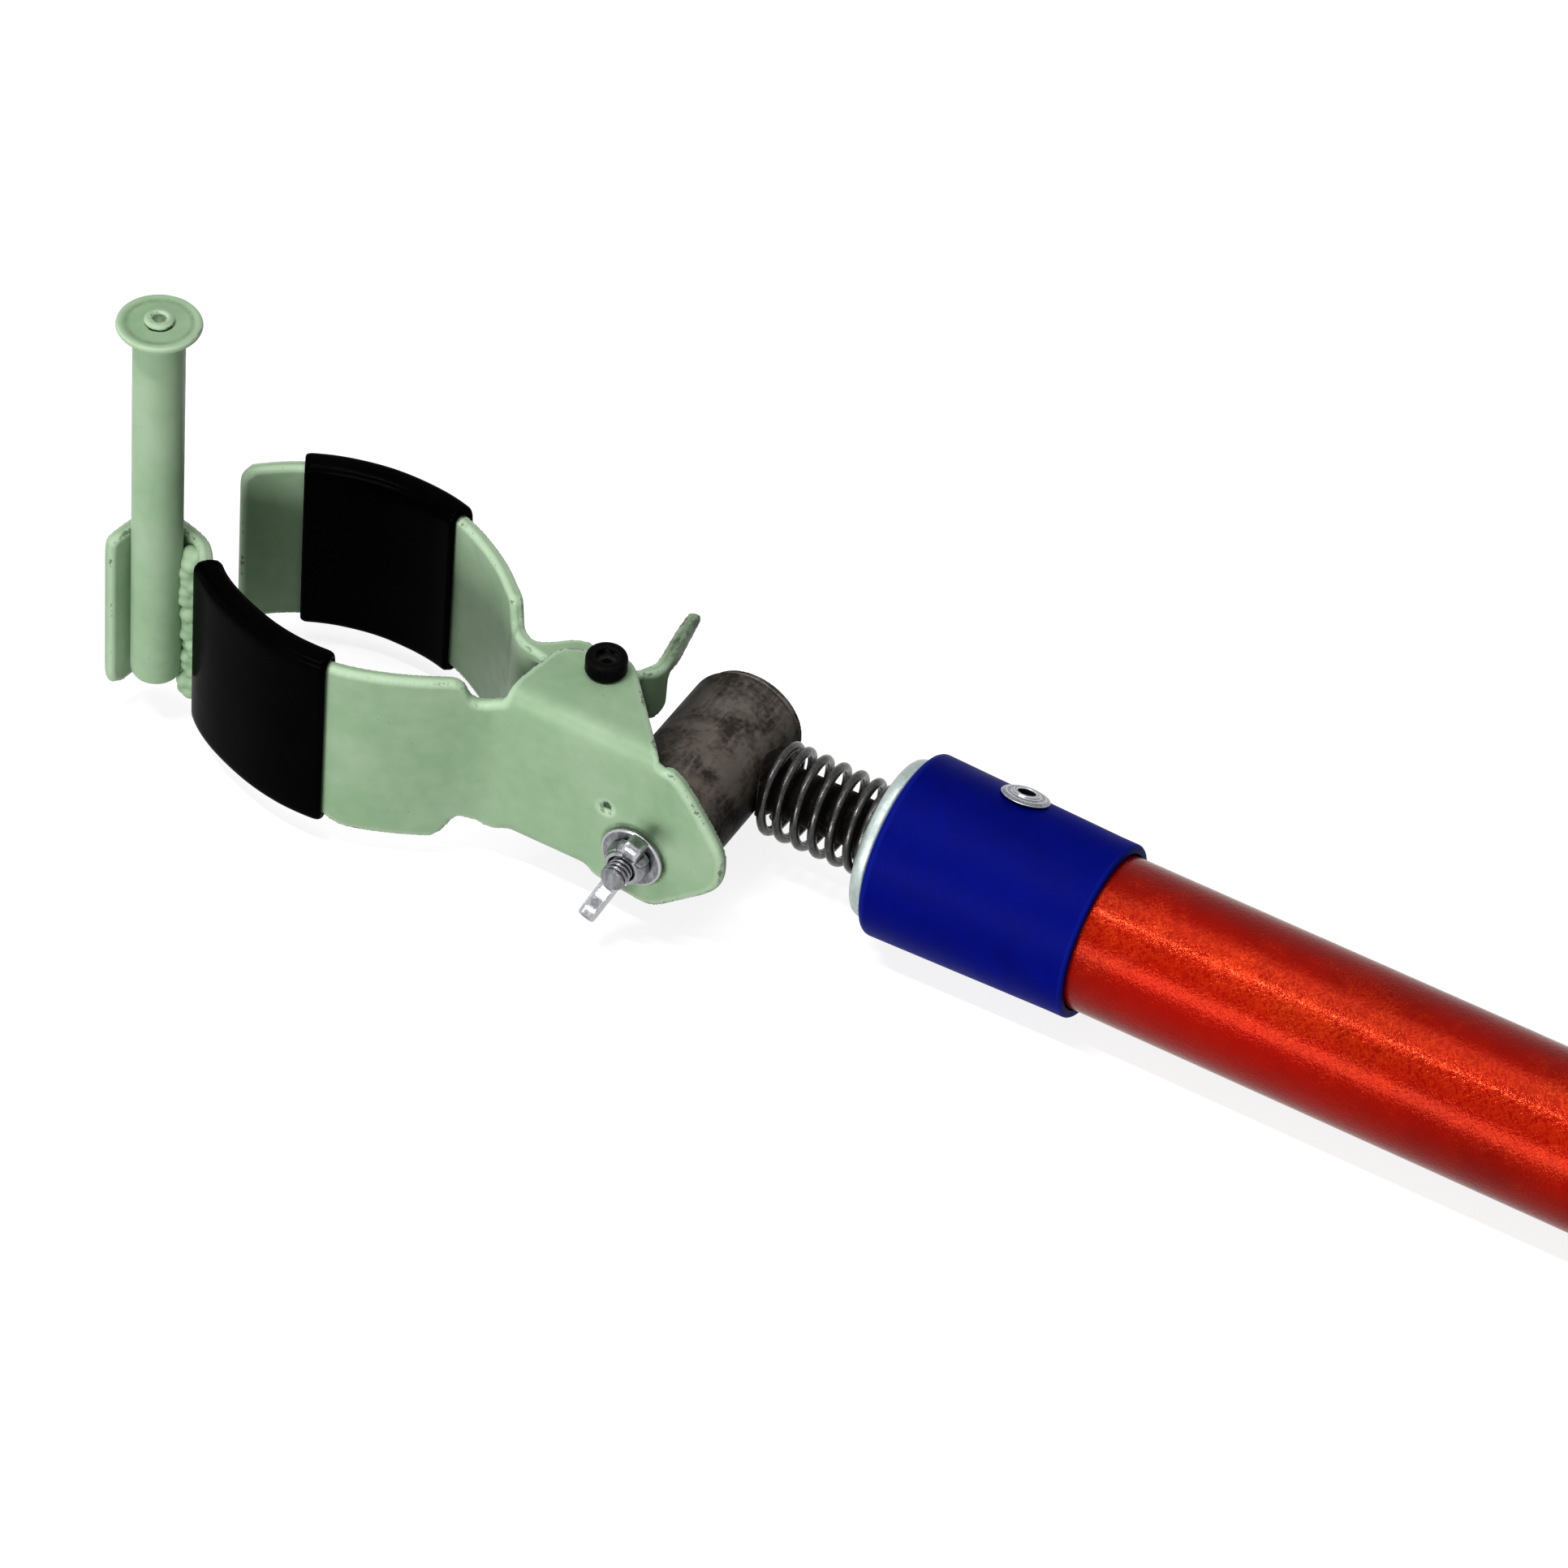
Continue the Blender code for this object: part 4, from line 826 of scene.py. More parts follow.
class Skin:
    """The mesh of one piece as arrays, for smoothing it and reading its edges and nooks."""

    step: float = 0.5
    edge_blur: int = 2
    wide_blur: int = 10

    def __init__(self, mesh: bpy.types.Mesh) -> None:
        """Read a mesh.

        Args:
            mesh: The mesh.
        """
        self.mesh = mesh
        self.points = self.read(mesh.vertices, "co", 3).reshape(-1, 3)
        self.edges = self.read(mesh.edges, "vertices", 2, np.int32).reshape(-1, 2)

    @staticmethod
    def read(items: object, name: str, width: int, kind: type = np.float32) -> np.ndarray:
        """Read a property of every item.

        Args:
            items: A collection of the mesh.
            name: Name of the property.
            width: How many numbers each item holds.
            kind: Type of the numbers.

        Returns:
            All the numbers in one row.
        """
        values = np.zeros(len(items) * width, kind)
        items.foreach_get(name, values)
        return values if kind is np.int32 else values.astype(np.float64)

    def write(self) -> None:
        """Write the points back."""
        self.mesh.vertices.foreach_set("co", self.points.astype(np.float32).ravel())
        self.mesh.update()

    def normals(self) -> np.ndarray:
        """Return the normal at each point."""
        return self.read(self.mesh.vertex_normals, "vector", 3).reshape(-1, 3)

    def around(self, values: np.ndarray, weights: np.ndarray | None = None) -> np.ndarray:
        """Average what the neighbours of each point hold.

        Args:
            values: A row for each point.
            weights: A weight for each edge, or none for even ones.

        Returns:
            A row for each point.
        """
        one, two = self.edges[:, 0], self.edges[:, 1]
        count = len(values)
        share = np.ones(len(one)) if weights is None else weights
        total = np.bincount(one, share, count) + np.bincount(two, share, count) + 1e-9
        flat = values.reshape(count, -1)
        summed = [np.bincount(one, share * column[two], count) + np.bincount(two, share * column[one], count)
                  for column in flat.T]
        return (np.stack(summed, axis=1) / total[:, None]).reshape(values.shape)

    def relax(self, passes: int, weights: np.ndarray | None = None) -> None:
        """Move each point towards its neighbours.

        Args:
            passes: How many times.
            weights: A weight for each edge, or none for even ones.
        """
        for _ in range(passes):
            self.points += self.step * (self.around(self.points, weights) - self.points)
        self.write()

    def fair(self, rounds: int, passes: int, limit: float = 0.02) -> None:
        """Smooth the faces and keep the edges, by trusting only neighbours that face the same way.

        Args:
            rounds: How many times the facing is read again.
            passes: How many times the points move in each round.
            limit: How far two normals may part before the trust falls off.
        """
        for _ in range(rounds):
            normals = self.normals()
            turn = 1.0 - np.sum(normals[self.edges[:, 0]] * normals[self.edges[:, 1]], axis=1)
            self.relax(passes, np.exp(-turn / limit) + 1e-6)

    def blurred(self, values: np.ndarray, passes: int) -> np.ndarray:
        """Blur what the points hold.

        Args:
            values: A number for each point.
            passes: How many times.

        Returns:
            The blurred numbers.
        """
        for _ in range(passes):
            values = self.step * values + self.step * self.around(values)
        return values

    def mark(self, reach: float) -> None:
        """Store how far each point stands out as an edge or lies in as a nook. The finishes lighten edges
        partly as a painted highlight and darken nooks partly as painted shade.

        Args:
            reach: Curvature radius in metres at which a mark is full.
        """
        away = self.around(self.points) - self.points
        spans = self.points[self.edges[:, 0]] - self.points[self.edges[:, 1]]
        spacing = np.mean(np.sum(spans ** 2, axis=1))
        bend = self.blurred(-2.0 * np.sum(away * self.normals(), axis=1) / spacing * reach, self.edge_blur)
        self.store(EDGE, np.clip(bend, 0.0, 1.0))
        self.store(NOOK, np.clip(-bend - self.blurred(bend, self.wide_blur), 0.0, 1.0))

    def store(self, name: str, values: np.ndarray) -> None:
        """Store a number for each point as an attribute."""
        found = self.mesh.attributes.get(name) or self.mesh.attributes.new(name, "FLOAT", "POINT")
        found.data.foreach_set("value", values.astype(np.float32))


@dataclass(frozen=True)
class Softening:
    """A CAD node whose mesh is given the soft edges of the real piece, in metres and counts."""

    node: str
    name: str
    finish: Finish
    voxel: float
    rounding: int = 3
    fair_rounds: int = 4
    passes: int = 5
    reach: float = 1.2 * MM
    merge: float = 0.01 * MM

    def piece(self) -> Piece:
        """Make the softened copy of the node.

        Returns:
            The piece, still without a finish.
        """
        shape = bmesh.new()
        shape.from_mesh(frame["nodes"][self.node].data)
        bmesh.ops.remove_doubles(shape, verts=shape.verts, dist=self.merge)
        bare = mesh_from(shape, self.name + "_bare")
        made = placed(self.name, bare)
        change = made.modifiers.new("voxels", "REMESH")
        change.mode = "VOXEL"
        change.voxel_size = self.voxel
        mesh = plain(made).data
        mesh.materials.clear()
        bpy.data.meshes.remove(bare)
        skin = Skin(mesh)
        skin.fair(self.fair_rounds, self.passes)
        skin.relax(self.rounding)
        skin.mark(self.reach)
        mesh.shade_smooth()
        return made


@dataclass(frozen=True)
class Lathe:
    """Turns a profile of (radius, height, corner) rows, in metres, into a round piece."""

    steps: int
    corner_steps: int = 4
    longest_run: float = 0.45
    support: float = 0.3
    longest_support: float = 0.04
    merge: float = 0.0001 * MM
    sharp_angle: float = math.radians(50)

    def rounded(self, profile: Profile) -> Profile:
        """Round the profile's corners, with a support row just outside each that keeps the sides straight.

        Args:
            profile: Rows of radius, height and corner radius.

        Returns:
            Rows of radius, height and whether the row is on a rounded corner.
        """
        rows: Profile = []
        count = len(profile)
        closed = all(row[0] > 0.0 for row in profile)
        for i, (radius, height, corner) in enumerate(profile):
            if corner <= 0.0 or (not closed and i in (0, count - 1)):
                rows.append((radius, height, 0.0))
                continue
            here = Vector((radius, height))
            sides = [Vector(profile[i - 1][:2]) - here, Vector(profile[(i + 1) % count][:2]) - here]
            half = sides[0].angle(sides[1]) / 2
            run = min(corner / math.tan(half), *(self.longest_run * side.length for side in sides))
            real = run * math.tan(half)
            ways = [side.normalized() for side in sides]
            middle = here + (ways[0] + ways[1]).normalized() * real / math.sin(half)
            spokes = [(here + way * run - middle).normalized() for way in ways]
            beyond = [run + min(self.support * run, self.longest_support * side.length) for side in sides]
            outer = [(*(here + way * far), 0.0) for way, far in zip(ways, beyond)]
            turned = [middle + spokes[0].slerp(spokes[1], step / self.corner_steps) * real
                      for step in range(self.corner_steps + 1)]
            rows += [outer[0], *((spot.x, spot.y, 1.0) for spot in turned), outer[1]]
        return rows

    def piece(self, name: str, profile: Profile, place: Matrix) -> Piece:
        """Turn a profile about a local Z axis.

        Args:
            name: Name of the piece.
            profile: Rows of radius, height and corner radius. A profile that never meets the axis is closed.
            place: Where the local frame stands.

        Returns:
            The piece, still without a finish.
        """
        rows = self.rounded(profile)
        runs = [0.0]
        for before, after in zip(rows, rows[1:]):
            runs.append(runs[-1] + math.dist(before[:2], after[:2]))
        girth = math.tau * max(row[0] for row in rows)
        turns = [math.tau * i / self.steps for i in range(self.steps)]
        shape = bmesh.new()
        mark = shape.verts.layers.float.new(EDGE)
        skin = shape.loops.layers.uv.new(UNROLLED)
        rings = []
        for radius, height, edge in rows:
            rings.append([shape.verts.new((radius * math.cos(a), radius * math.sin(a), height))
                          for a in (turns if radius > 0.0 else [0.0])])
            for corner in rings[-1]:
                corner[mark] = edge
        pairs = list(zip(rings, rings[1:], runs, runs[1:]))
        if all(row[0] > 0.0 for row in rows):
            pairs.append((rings[-1], rings[0], runs[-1], runs[-1] + math.dist(rows[-1][:2], rows[0][:2])))
        for first, second, low, high in pairs:
            for i in range(self.steps):
                spots = {}
                for ring, step, run in ((first, i, low), (first, i + 1, low), (second, i + 1, high),
                                        (second, i, high)):
                    spots.setdefault(ring[step % len(ring)], (girth * step / self.steps, run))
                if len(spots) > 2:
                    face = shape.faces.new(spots)
                    for corner, spot in zip(face.loops, spots.values()):
                        corner[skin].uv = spot
        bmesh.ops.remove_doubles(shape, verts=shape.verts, dist=self.merge)
        bmesh.ops.recalc_face_normals(shape, faces=shape.faces)
        mesh = mesh_from(shape, name)
        mesh.transform(place)
        mesh.shade_smooth()
        mesh.set_sharp_from_angle(angle=self.sharp_angle)
        return placed(name, mesh)


class Rule(Graph):
    """A Geometry Nodes tree that makes a piece by a rule."""

    inputs: dict[str, float | int] = {}

    def __init__(self) -> None:
        """Build the tree. It ends by smoothing, realizing its instances and setting the material."""
        super().__init__(bpy.data.node_groups.new(type(self).__name__.lower(), "GeometryNodeTree"))
        self.keys: dict[str, str] = {}
        new_socket = self.tree.interface.new_socket
        new_socket("Geometry", in_out="INPUT", socket_type="NodeSocketGeometry")
        for label, value in self.inputs.items():
            kind = "NodeSocketInt" if isinstance(value, int) else "NodeSocketFloat"
            socket = new_socket(label, in_out="INPUT", socket_type=kind)
            socket.default_value = value
            self.keys[label] = socket.identifier
        finish = new_socket("Finish", in_out="INPUT", socket_type="NodeSocketMaterial")
        self.keys["Finish"] = finish.identifier
        new_socket("Geometry", in_out="OUTPUT", socket_type="NodeSocketGeometry")
        self.given = self.node("NodeGroupInput").outputs
        smooth = self.out("GeometryNodeSetShadeSmooth", {0: self.make()})
        real = self.out("GeometryNodeRealizeInstances", {0: smooth})
        dressed = self.out("GeometryNodeSetMaterial", {0: real, "Material": self.given["Finish"]})
        self.feed(self.node("NodeGroupOutput").inputs[0], dressed)

    def make(self) -> Socket:
        """Build the geometry."""
        raise NotImplementedError

    def sweep(self, curve: Socket) -> Socket:
        """Sweep a round wire along a curve, with closed ends.

        Args:
            curve: The curve.

        Returns:
            The wire's surface.
        """
        radius = self.math("DIVIDE", self.given["Wire Diameter"], 2.0)
        section = self.out("GeometryNodeCurvePrimitiveCircle", {
            "Resolution": self.given["Wire Sides"], "Radius": radius})
        return self.out("GeometryNodeCurveToMesh", {
            "Curve": curve, "Profile Curve": section, "Fill Caps": True})

    def draw(self, low: object, high: object) -> Socket:
        """Draw a random number between two bounds for each point."""
        return self.out("FunctionNodeRandomValue", {2: low, 3: high, "Seed": self.given["Seed"]}, 1,
                        data_type="FLOAT")

    def run(self, name: str, base: bpy.types.Mesh, finish: Finish, **values: object) -> Piece:
        """Run the rule over a base mesh.

        Args:
            name: Name of the piece.
            base: Mesh that the tree starts from, which may be empty.
            finish: Finish of the piece.
            **values: Inputs of the tree, with _ for a space in their names.

        Returns:
            The plain piece.
        """
        made = placed(name, base)
        change = made.modifiers.new("rule", "NODES")
        change.node_group = self.tree
        change[self.keys["Finish"]] = finish.material()
        for label, value in values.items():
            change[self.keys[label.replace("_", " ")]] = value
        made.update_tag()
        return plain(made)


class Coil(Rule):
    """Winds a wire round the Z axis, with its first and last turns close together."""

    inputs = {"Mean Diameter": 0.021, "Wire Diameter": 0.0023, "Turns": 7.0, "Length": 0.03,
              "End Pitch": 0.0024, "Steps per Turn": 48, "Wire Sides": 16}

    def make(self) -> Socket:
        """Bend a line into the coil and sweep the wire along it.

        Returns:
            The wire's surface.
        """
        turns, steps, pitch = (self.given[label] for label in ("Turns", "Steps per Turn", "End Pitch"))
        line = self.out("GeometryNodeCurvePrimitiveLine")
        points = self.out("GeometryNodeResampleCurve", {
            "Curve": line, "Count": self.plus(self.times(turns, steps), 1.0)}, mode="COUNT")
        turn = self.math("DIVIDE", self.out("GeometryNodeInputIndex"), steps)
        angle = self.times(turn, math.tau)
        radius = self.math("DIVIDE", self.given["Mean Diameter"], 2.0)
        last = self.math("SUBTRACT", turns, 1.0)
        middle = self.math("SUBTRACT", self.given["Length"], self.times(pitch, 2.0))
        height: object = 0.0
        for start, end, rise in ((0.0, 1.0, pitch), (1.0, last, middle), (last, turns, pitch)):
            height = self.plus(height, self.span(turn, start, end, 0.0, rise))
        spot = self.vector(self.times(self.math("COSINE", angle), radius),
                           self.times(self.math("SINE", angle), radius), height)
        wound = self.out("GeometryNodeSetPosition", {"Geometry": points, "Position": spot})
        return self.sweep(self.out("GeometryNodeSetCurveNormal", {"Curve": wound}, mode="Z_UP"))


class Wire(Rule):
    """Runs a round wire along a path."""

    inputs = {"Wire Diameter": 0.0015, "Wire Sides": 12}

    def make(self) -> Socket:
        """Sweep the wire along the base mesh's edges."""
        return self.sweep(self.out("GeometryNodeMeshToCurve", {0: self.given["Geometry"]}))


class Weld(Rule):
    """Lays a welded bead along a path, as melted drops that run together."""

    inputs = {"Drop Radius": 0.0018, "Drop Spacing": 0.0009, "Wander": 0.0009, "Grid": 0.00025, "Seed": 5}
    smallest: float = 0.55
    largest: float = 1.1
    threshold: float = 0.1

    def make(self) -> Socket:
        """Drop the beads, let them wander and skin them over.

        Returns:
            The weld's surface.
        """
        given = self.given
        drops = self.out("GeometryNodeCurveToPoints", {
            "Curve": self.out("GeometryNodeMeshToCurve", {0: given["Geometry"]}),
            "Length": given["Drop Spacing"]}, mode="LENGTH")
        reach = self.vector(*[given["Wander"]] * 3)
        shift = self.out("FunctionNodeRandomValue", {
            "Min": self.stretched(reach, (-1.0, -1.0, -1.0)), "Max": reach, "Seed": given["Seed"]},
            data_type="FLOAT_VECTOR")
        moved = self.out("GeometryNodeSetPosition", {"Geometry": drops, "Offset": shift})
        sizes = [self.times(given["Drop Radius"], share) for share in (self.smallest, self.largest)]
        solid = self.out("GeometryNodePointsToVolume", {
            "Points": moved, "Voxel Size": given["Grid"], "Radius": self.draw(*sizes)},
            resolution_mode="VOXEL_SIZE")
        return self.out("GeometryNodeVolumeToMesh", {
            "Volume": solid, "Voxel Size": given["Grid"], "Threshold": self.threshold},
            resolution_mode="VOXEL_SIZE")


class Spatter(Rule):
    """Scatters small beads of spatter where the base mesh is marked as near a seam."""

    inputs = {"Beads per Square Metre": 60000.0, "Bead Radius": 0.0004, "Seed": 11}
    smallest: float = 0.35
    largest: float = 1.15
    flatness: float = 0.6

    def make(self) -> Socket:
        """Set flattened beads on the marked faces.

        Returns:
            The beads.
        """
        near = self.out("GeometryNodeInputNamedAttribute", {"Name": SEAM}, data_type="FLOAT")
        points = self.node("GeometryNodeDistributePointsOnFaces", {
            "Mesh": self.given["Geometry"], "Density": self.times(near, self.given["Beads per Square Metre"]),
            "Seed": self.given["Seed"]}, distribute_method="RANDOM").outputs
        bead = self.out("GeometryNodeMeshIcoSphere", {"Radius": self.given["Bead Radius"], "Subdivisions": 2})
        size = self.draw(self.smallest, self.largest)
        return self.out("GeometryNodeInstanceOnPoints", {
            "Points": points["Points"], "Instance": bead, "Rotation": points["Rotation"],
            "Scale": self.vector(size, size, self.times(size, self.flatness))})


@cache
def rule(kind: type[Rule]) -> Rule:
    """Return a rule, built once."""
    return kind()


class Assembly:
    """What every sub-assembly does with a piece once its mesh is made."""

    @staticmethod
    def body_of(node: str) -> str:
        """Return the body that a CAD node belongs to."""
        return frame["nodes"][node]["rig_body"]

    def add(self, piece: Piece, finish: Finish, node: str) -> None:
        """Give a piece its finish and hang it on the body of a CAD node.

        Args:
            piece: The piece.
            finish: Its finish.
            node: CAD node whose body it rides on.
        """
        piece.data.materials.clear()
        piece.data.materials.append(finish.material())
        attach(piece, self.body_of(node))
        LOG.info("%s: %d faces, rides with %s", piece.name, len(piece.data.polygons), node)

    def dress(self, piece: Piece, finish: Finish, node: str) -> None:
        """Add a piece that stands for a CAD node."""
        self.add(piece, finish, node)
        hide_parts(node)

    def soften(self, *rows: Softening) -> None:
        """Make and dress softened copies of CAD nodes."""
        for row in rows:
            self.dress(row.piece(), row.finish, row.node)

    def recolour(self, node: str, finish: Finish) -> None:
        """Give a CAD node that stays in view a better finish.

        Args:
            node: Name of the CAD node.
            finish: Its finish.
        """
        for held in frame["nodes"][node].material_slots:
            held.material = finish.material()
        LOG.info("%s: CAD node with the finish %s", node, finish.name)


@dataclass
class Handle(Assembly):
    """The pole with its foam core, butt cap, blue collar, rivets and end plug."""

    pole_wall: float = 3.2 * MM
    pole_edge: float = 0.4 * MM
    cap_wall: float = 2.2 * MM
    cap_base: float = 3.0 * MM
    grip_rings: int = 5
    groove: float = 0.9 * MM
    groove_depth: float = 0.5 * MM
    collar_taper: float = 1.3 * MM
    collar_gap: float = 0.3 * MM
    rivet_radius: float = 6.0 * MM
    rivet_neck: float = 3.2 * MM
    rivet_bore: float = 2.2 * MM
    rivet_height: float = 1.38 * MM
    rivet_depth: float = 2.6 * MM
    rivet_seat: float = 0.25 * MM
    rivet_shank: float = 2.4 * MM

    def build(self) -> None:
        """Build all the pieces."""
        self.build_pole()
        self.build_cap()
        self.build_collar()
        self.soften(Softening("end_plug", "zinc_end_plug", PLUG_ZINC, 0.42 * MM, rounding=4))
        self.build_rivets()
        self.recolour("foam_core", FOAM)

    def turn(self, steps: int, name: str, profile: Profile, finish: Finish, node: str) -> None:
        """Turn and dress a piece that stands on the pole's axis."""
        self.dress(Lathe(steps).piece(name, profile, Axis.X.at(NodeBox.of(node).start)), finish, node)

    def build_pole(self) -> None:
        """Turn the fibreglass tube."""
        size = NodeBox.of("pole_tube").size
        radius, bore = size.z / 2, size.z / 2 - self.pole_wall
        rows = ((bore, size.x), (radius, size.x), (radius, 0.0), (bore, 0.0))
        profile = [(*row, self.pole_edge) for row in rows]
        self.turn(160, "fibreglass_pole", profile, FIBREGLASS, "pole_tube")

    def build_cap(self) -> None:
        """Turn the rubber butt cap with its moulded rings."""
        size = NodeBox.of("butt_cap").size
        outer, inner = size.z / 2, size.z / 2 - self.cap_wall
        length, base = size.x, size.x - self.cap_base
        profile = [(0.0, length, 0.0), (outer, length, 1.2 * MM)]
        pitch = base / (self.grip_rings + 2)
        for ring in range(self.grip_rings):
            middle = base - pitch * (ring + 1)
            sunk = outer - self.groove_depth
            profile += [(outer, middle + self.groove, 0.3 * MM), (sunk, middle + self.groove / 2, 0.3 * MM),
                        (sunk, middle - self.groove / 2, 0.3 * MM), (outer, middle - self.groove, 0.3 * MM)]
        profile += [(outer, 0.0, 0.9 * MM), (inner, 0.0, 0.4 * MM), (inner, base, 0.0), (0.0, base, 0.0)]
        self.turn(112, "rubber_butt_cap", profile, RUBBER, "butt_cap")

    def build_collar(self) -> None:
        """Turn the blue collar, tapered towards the pole."""
        size = NodeBox.of("collar_sleeve").size
        front, back = size.z / 2, size.z / 2 - self.collar_taper
        inner = NodeBox.of("pole_tube").size.z / 2 + self.collar_gap
        profile = [(inner, size.x, 0.5 * MM), (back, size.x, 0.9 * MM),
                   (back + 0.02 * self.collar_taper, size.x * 0.9, 0.0),
                   (front, 0.0, 1.5 * MM), (inner, 0.0, 0.5 * MM)]
        self.turn(160, "blue_collar", profile, COLLAR_BLUE, "collar_sleeve")

    def build_rivets(self) -> None:
        """Turn the two blind rivets, each with its rolled neck and the stub of its mandrel, and mark the bore
        so that it is painted dark as the shade in the hole.
        """
        pole, collar = NodeBox.of("pole_tube"), NodeBox.of("collar_sleeve")
        axis = pole.centre
        foot = pole.size.z / 2 - self.pole_wall * 2
        for number in (1, 2):
            node = f"collar_rivet_{number}"
            spot = NodeBox.of(node).centre
            out = Vector((0.0, spot.y - axis.y, spot.z - axis.z)).normalized()
            turn = Vector((0, 0, 1)).rotation_difference(out).to_matrix().to_4x4()
            place = Matrix.Translation((spot.x, axis.y, axis.z)) @ turn
            fallen = self.collar_taper * (spot.x - collar.low.x) / collar.size.x
            seat = collar.size.z / 2 - fallen + self.rivet_seat
            top = seat + self.rivet_height
            floor = top - self.rivet_depth
            profile = [(0.0, top - 1.7 * MM, 0.0), (0.7 * MM, top - 1.75 * MM, 0.2 * MM),
                       (0.95 * MM, floor, 0.2 * MM), (self.rivet_bore, floor, 0.2 * MM),
                       (self.rivet_bore, top, 0.35 * MM), (self.rivet_neck, top, 0.35 * MM),
                       (self.rivet_neck + 0.35 * MM, top - 0.55 * MM, 0.3 * MM),
                       (self.rivet_radius - 1.2 * MM, top - 0.6 * MM, 0.8 * MM),
                       (self.rivet_radius, seat + 0.25 * MM, 0.3 * MM),
                       (self.rivet_radius - 0.2 * MM, seat, 0.1 * MM), (self.rivet_shank, seat, 0.0),
                       (self.rivet_shank, foot, 0.4 * MM), (0.0, foot, 0.0)]
            rivet = Lathe(64).piece(f"blind_rivet_{number}", profile, place)
            skin = Skin(rivet.data)
            local = skin.points - np.array(place.translation)
            rise = local @ np.array(out)
            radial = np.sqrt(np.maximum(np.sum(local ** 2, axis=1) - rise ** 2, 0.0))
            # The bore is marked as a nook, so its finish darkens it as a painted shade inside the hole.
            sunk = (radial < self.rivet_bore + 0.1 * MM) & (radial > 0.6 * MM) & (rise < top - 0.3 * MM)
            skin.store(NOOK, sunk & (rise > floor - 0.3 * MM))
            self.dress(rivet, RIVET_METAL, node)


@dataclass
class SpringShaft(Assembly):
    """The shaft with its stop, and the compression spring round it."""

    wire: float = 2.3 * MM
    mean_diameter: float = 21.0 * MM
    turns: float = 7.0
    end_gap: float = 0.15 * MM
    steps: int = 64
    sides: int = 20

    def build(self) -> None:
        """Build all the pieces."""
        self.soften(Softening("shaft", "knuckle_shaft", OILED_STEEL, 0.3 * MM),
                    Softening("stop_washer", "shaft_stop_washer", ZINC, 0.25 * MM, rounding=2),
                    Softening("shaft_stop_nut", "shaft_lock_nut", ZINC, 0.25 * MM))
        self.build_spring()

    def build_spring(self) -> None:
        """Wind the compression spring at one length and hang it on the end plug's body. On the tool it
        shortens by the shaft's travel as the shaft slides in.
        """
        box = NodeBox.of("compression_spring")
        low, high = box.low.x + self.wire / 2, box.high.x - self.wire / 2
        spring = rule(Coil).run(
            "compression_spring_wire", bpy.data.meshes.new("spring_base"), SPRING_WIRE,
            Mean_Diameter=self.mean_diameter, Wire_Diameter=self.wire, Turns=self.turns, Length=high - low,
            End_Pitch=self.wire + self.end_gap, Steps_per_Turn=self.steps, Wire_Sides=self.sides)
        axis = NodeBox.of("pole_tube").centre
        spring.data.transform(Axis.X.at(Vector((low, axis.y, axis.z))))
        Skin(spring.data).mark(0.3 * MM)
        self.dress(spring, SPRING_WIRE, "compression_spring")
        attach(spring, self.body_of("end_plug"))
        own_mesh(spring)


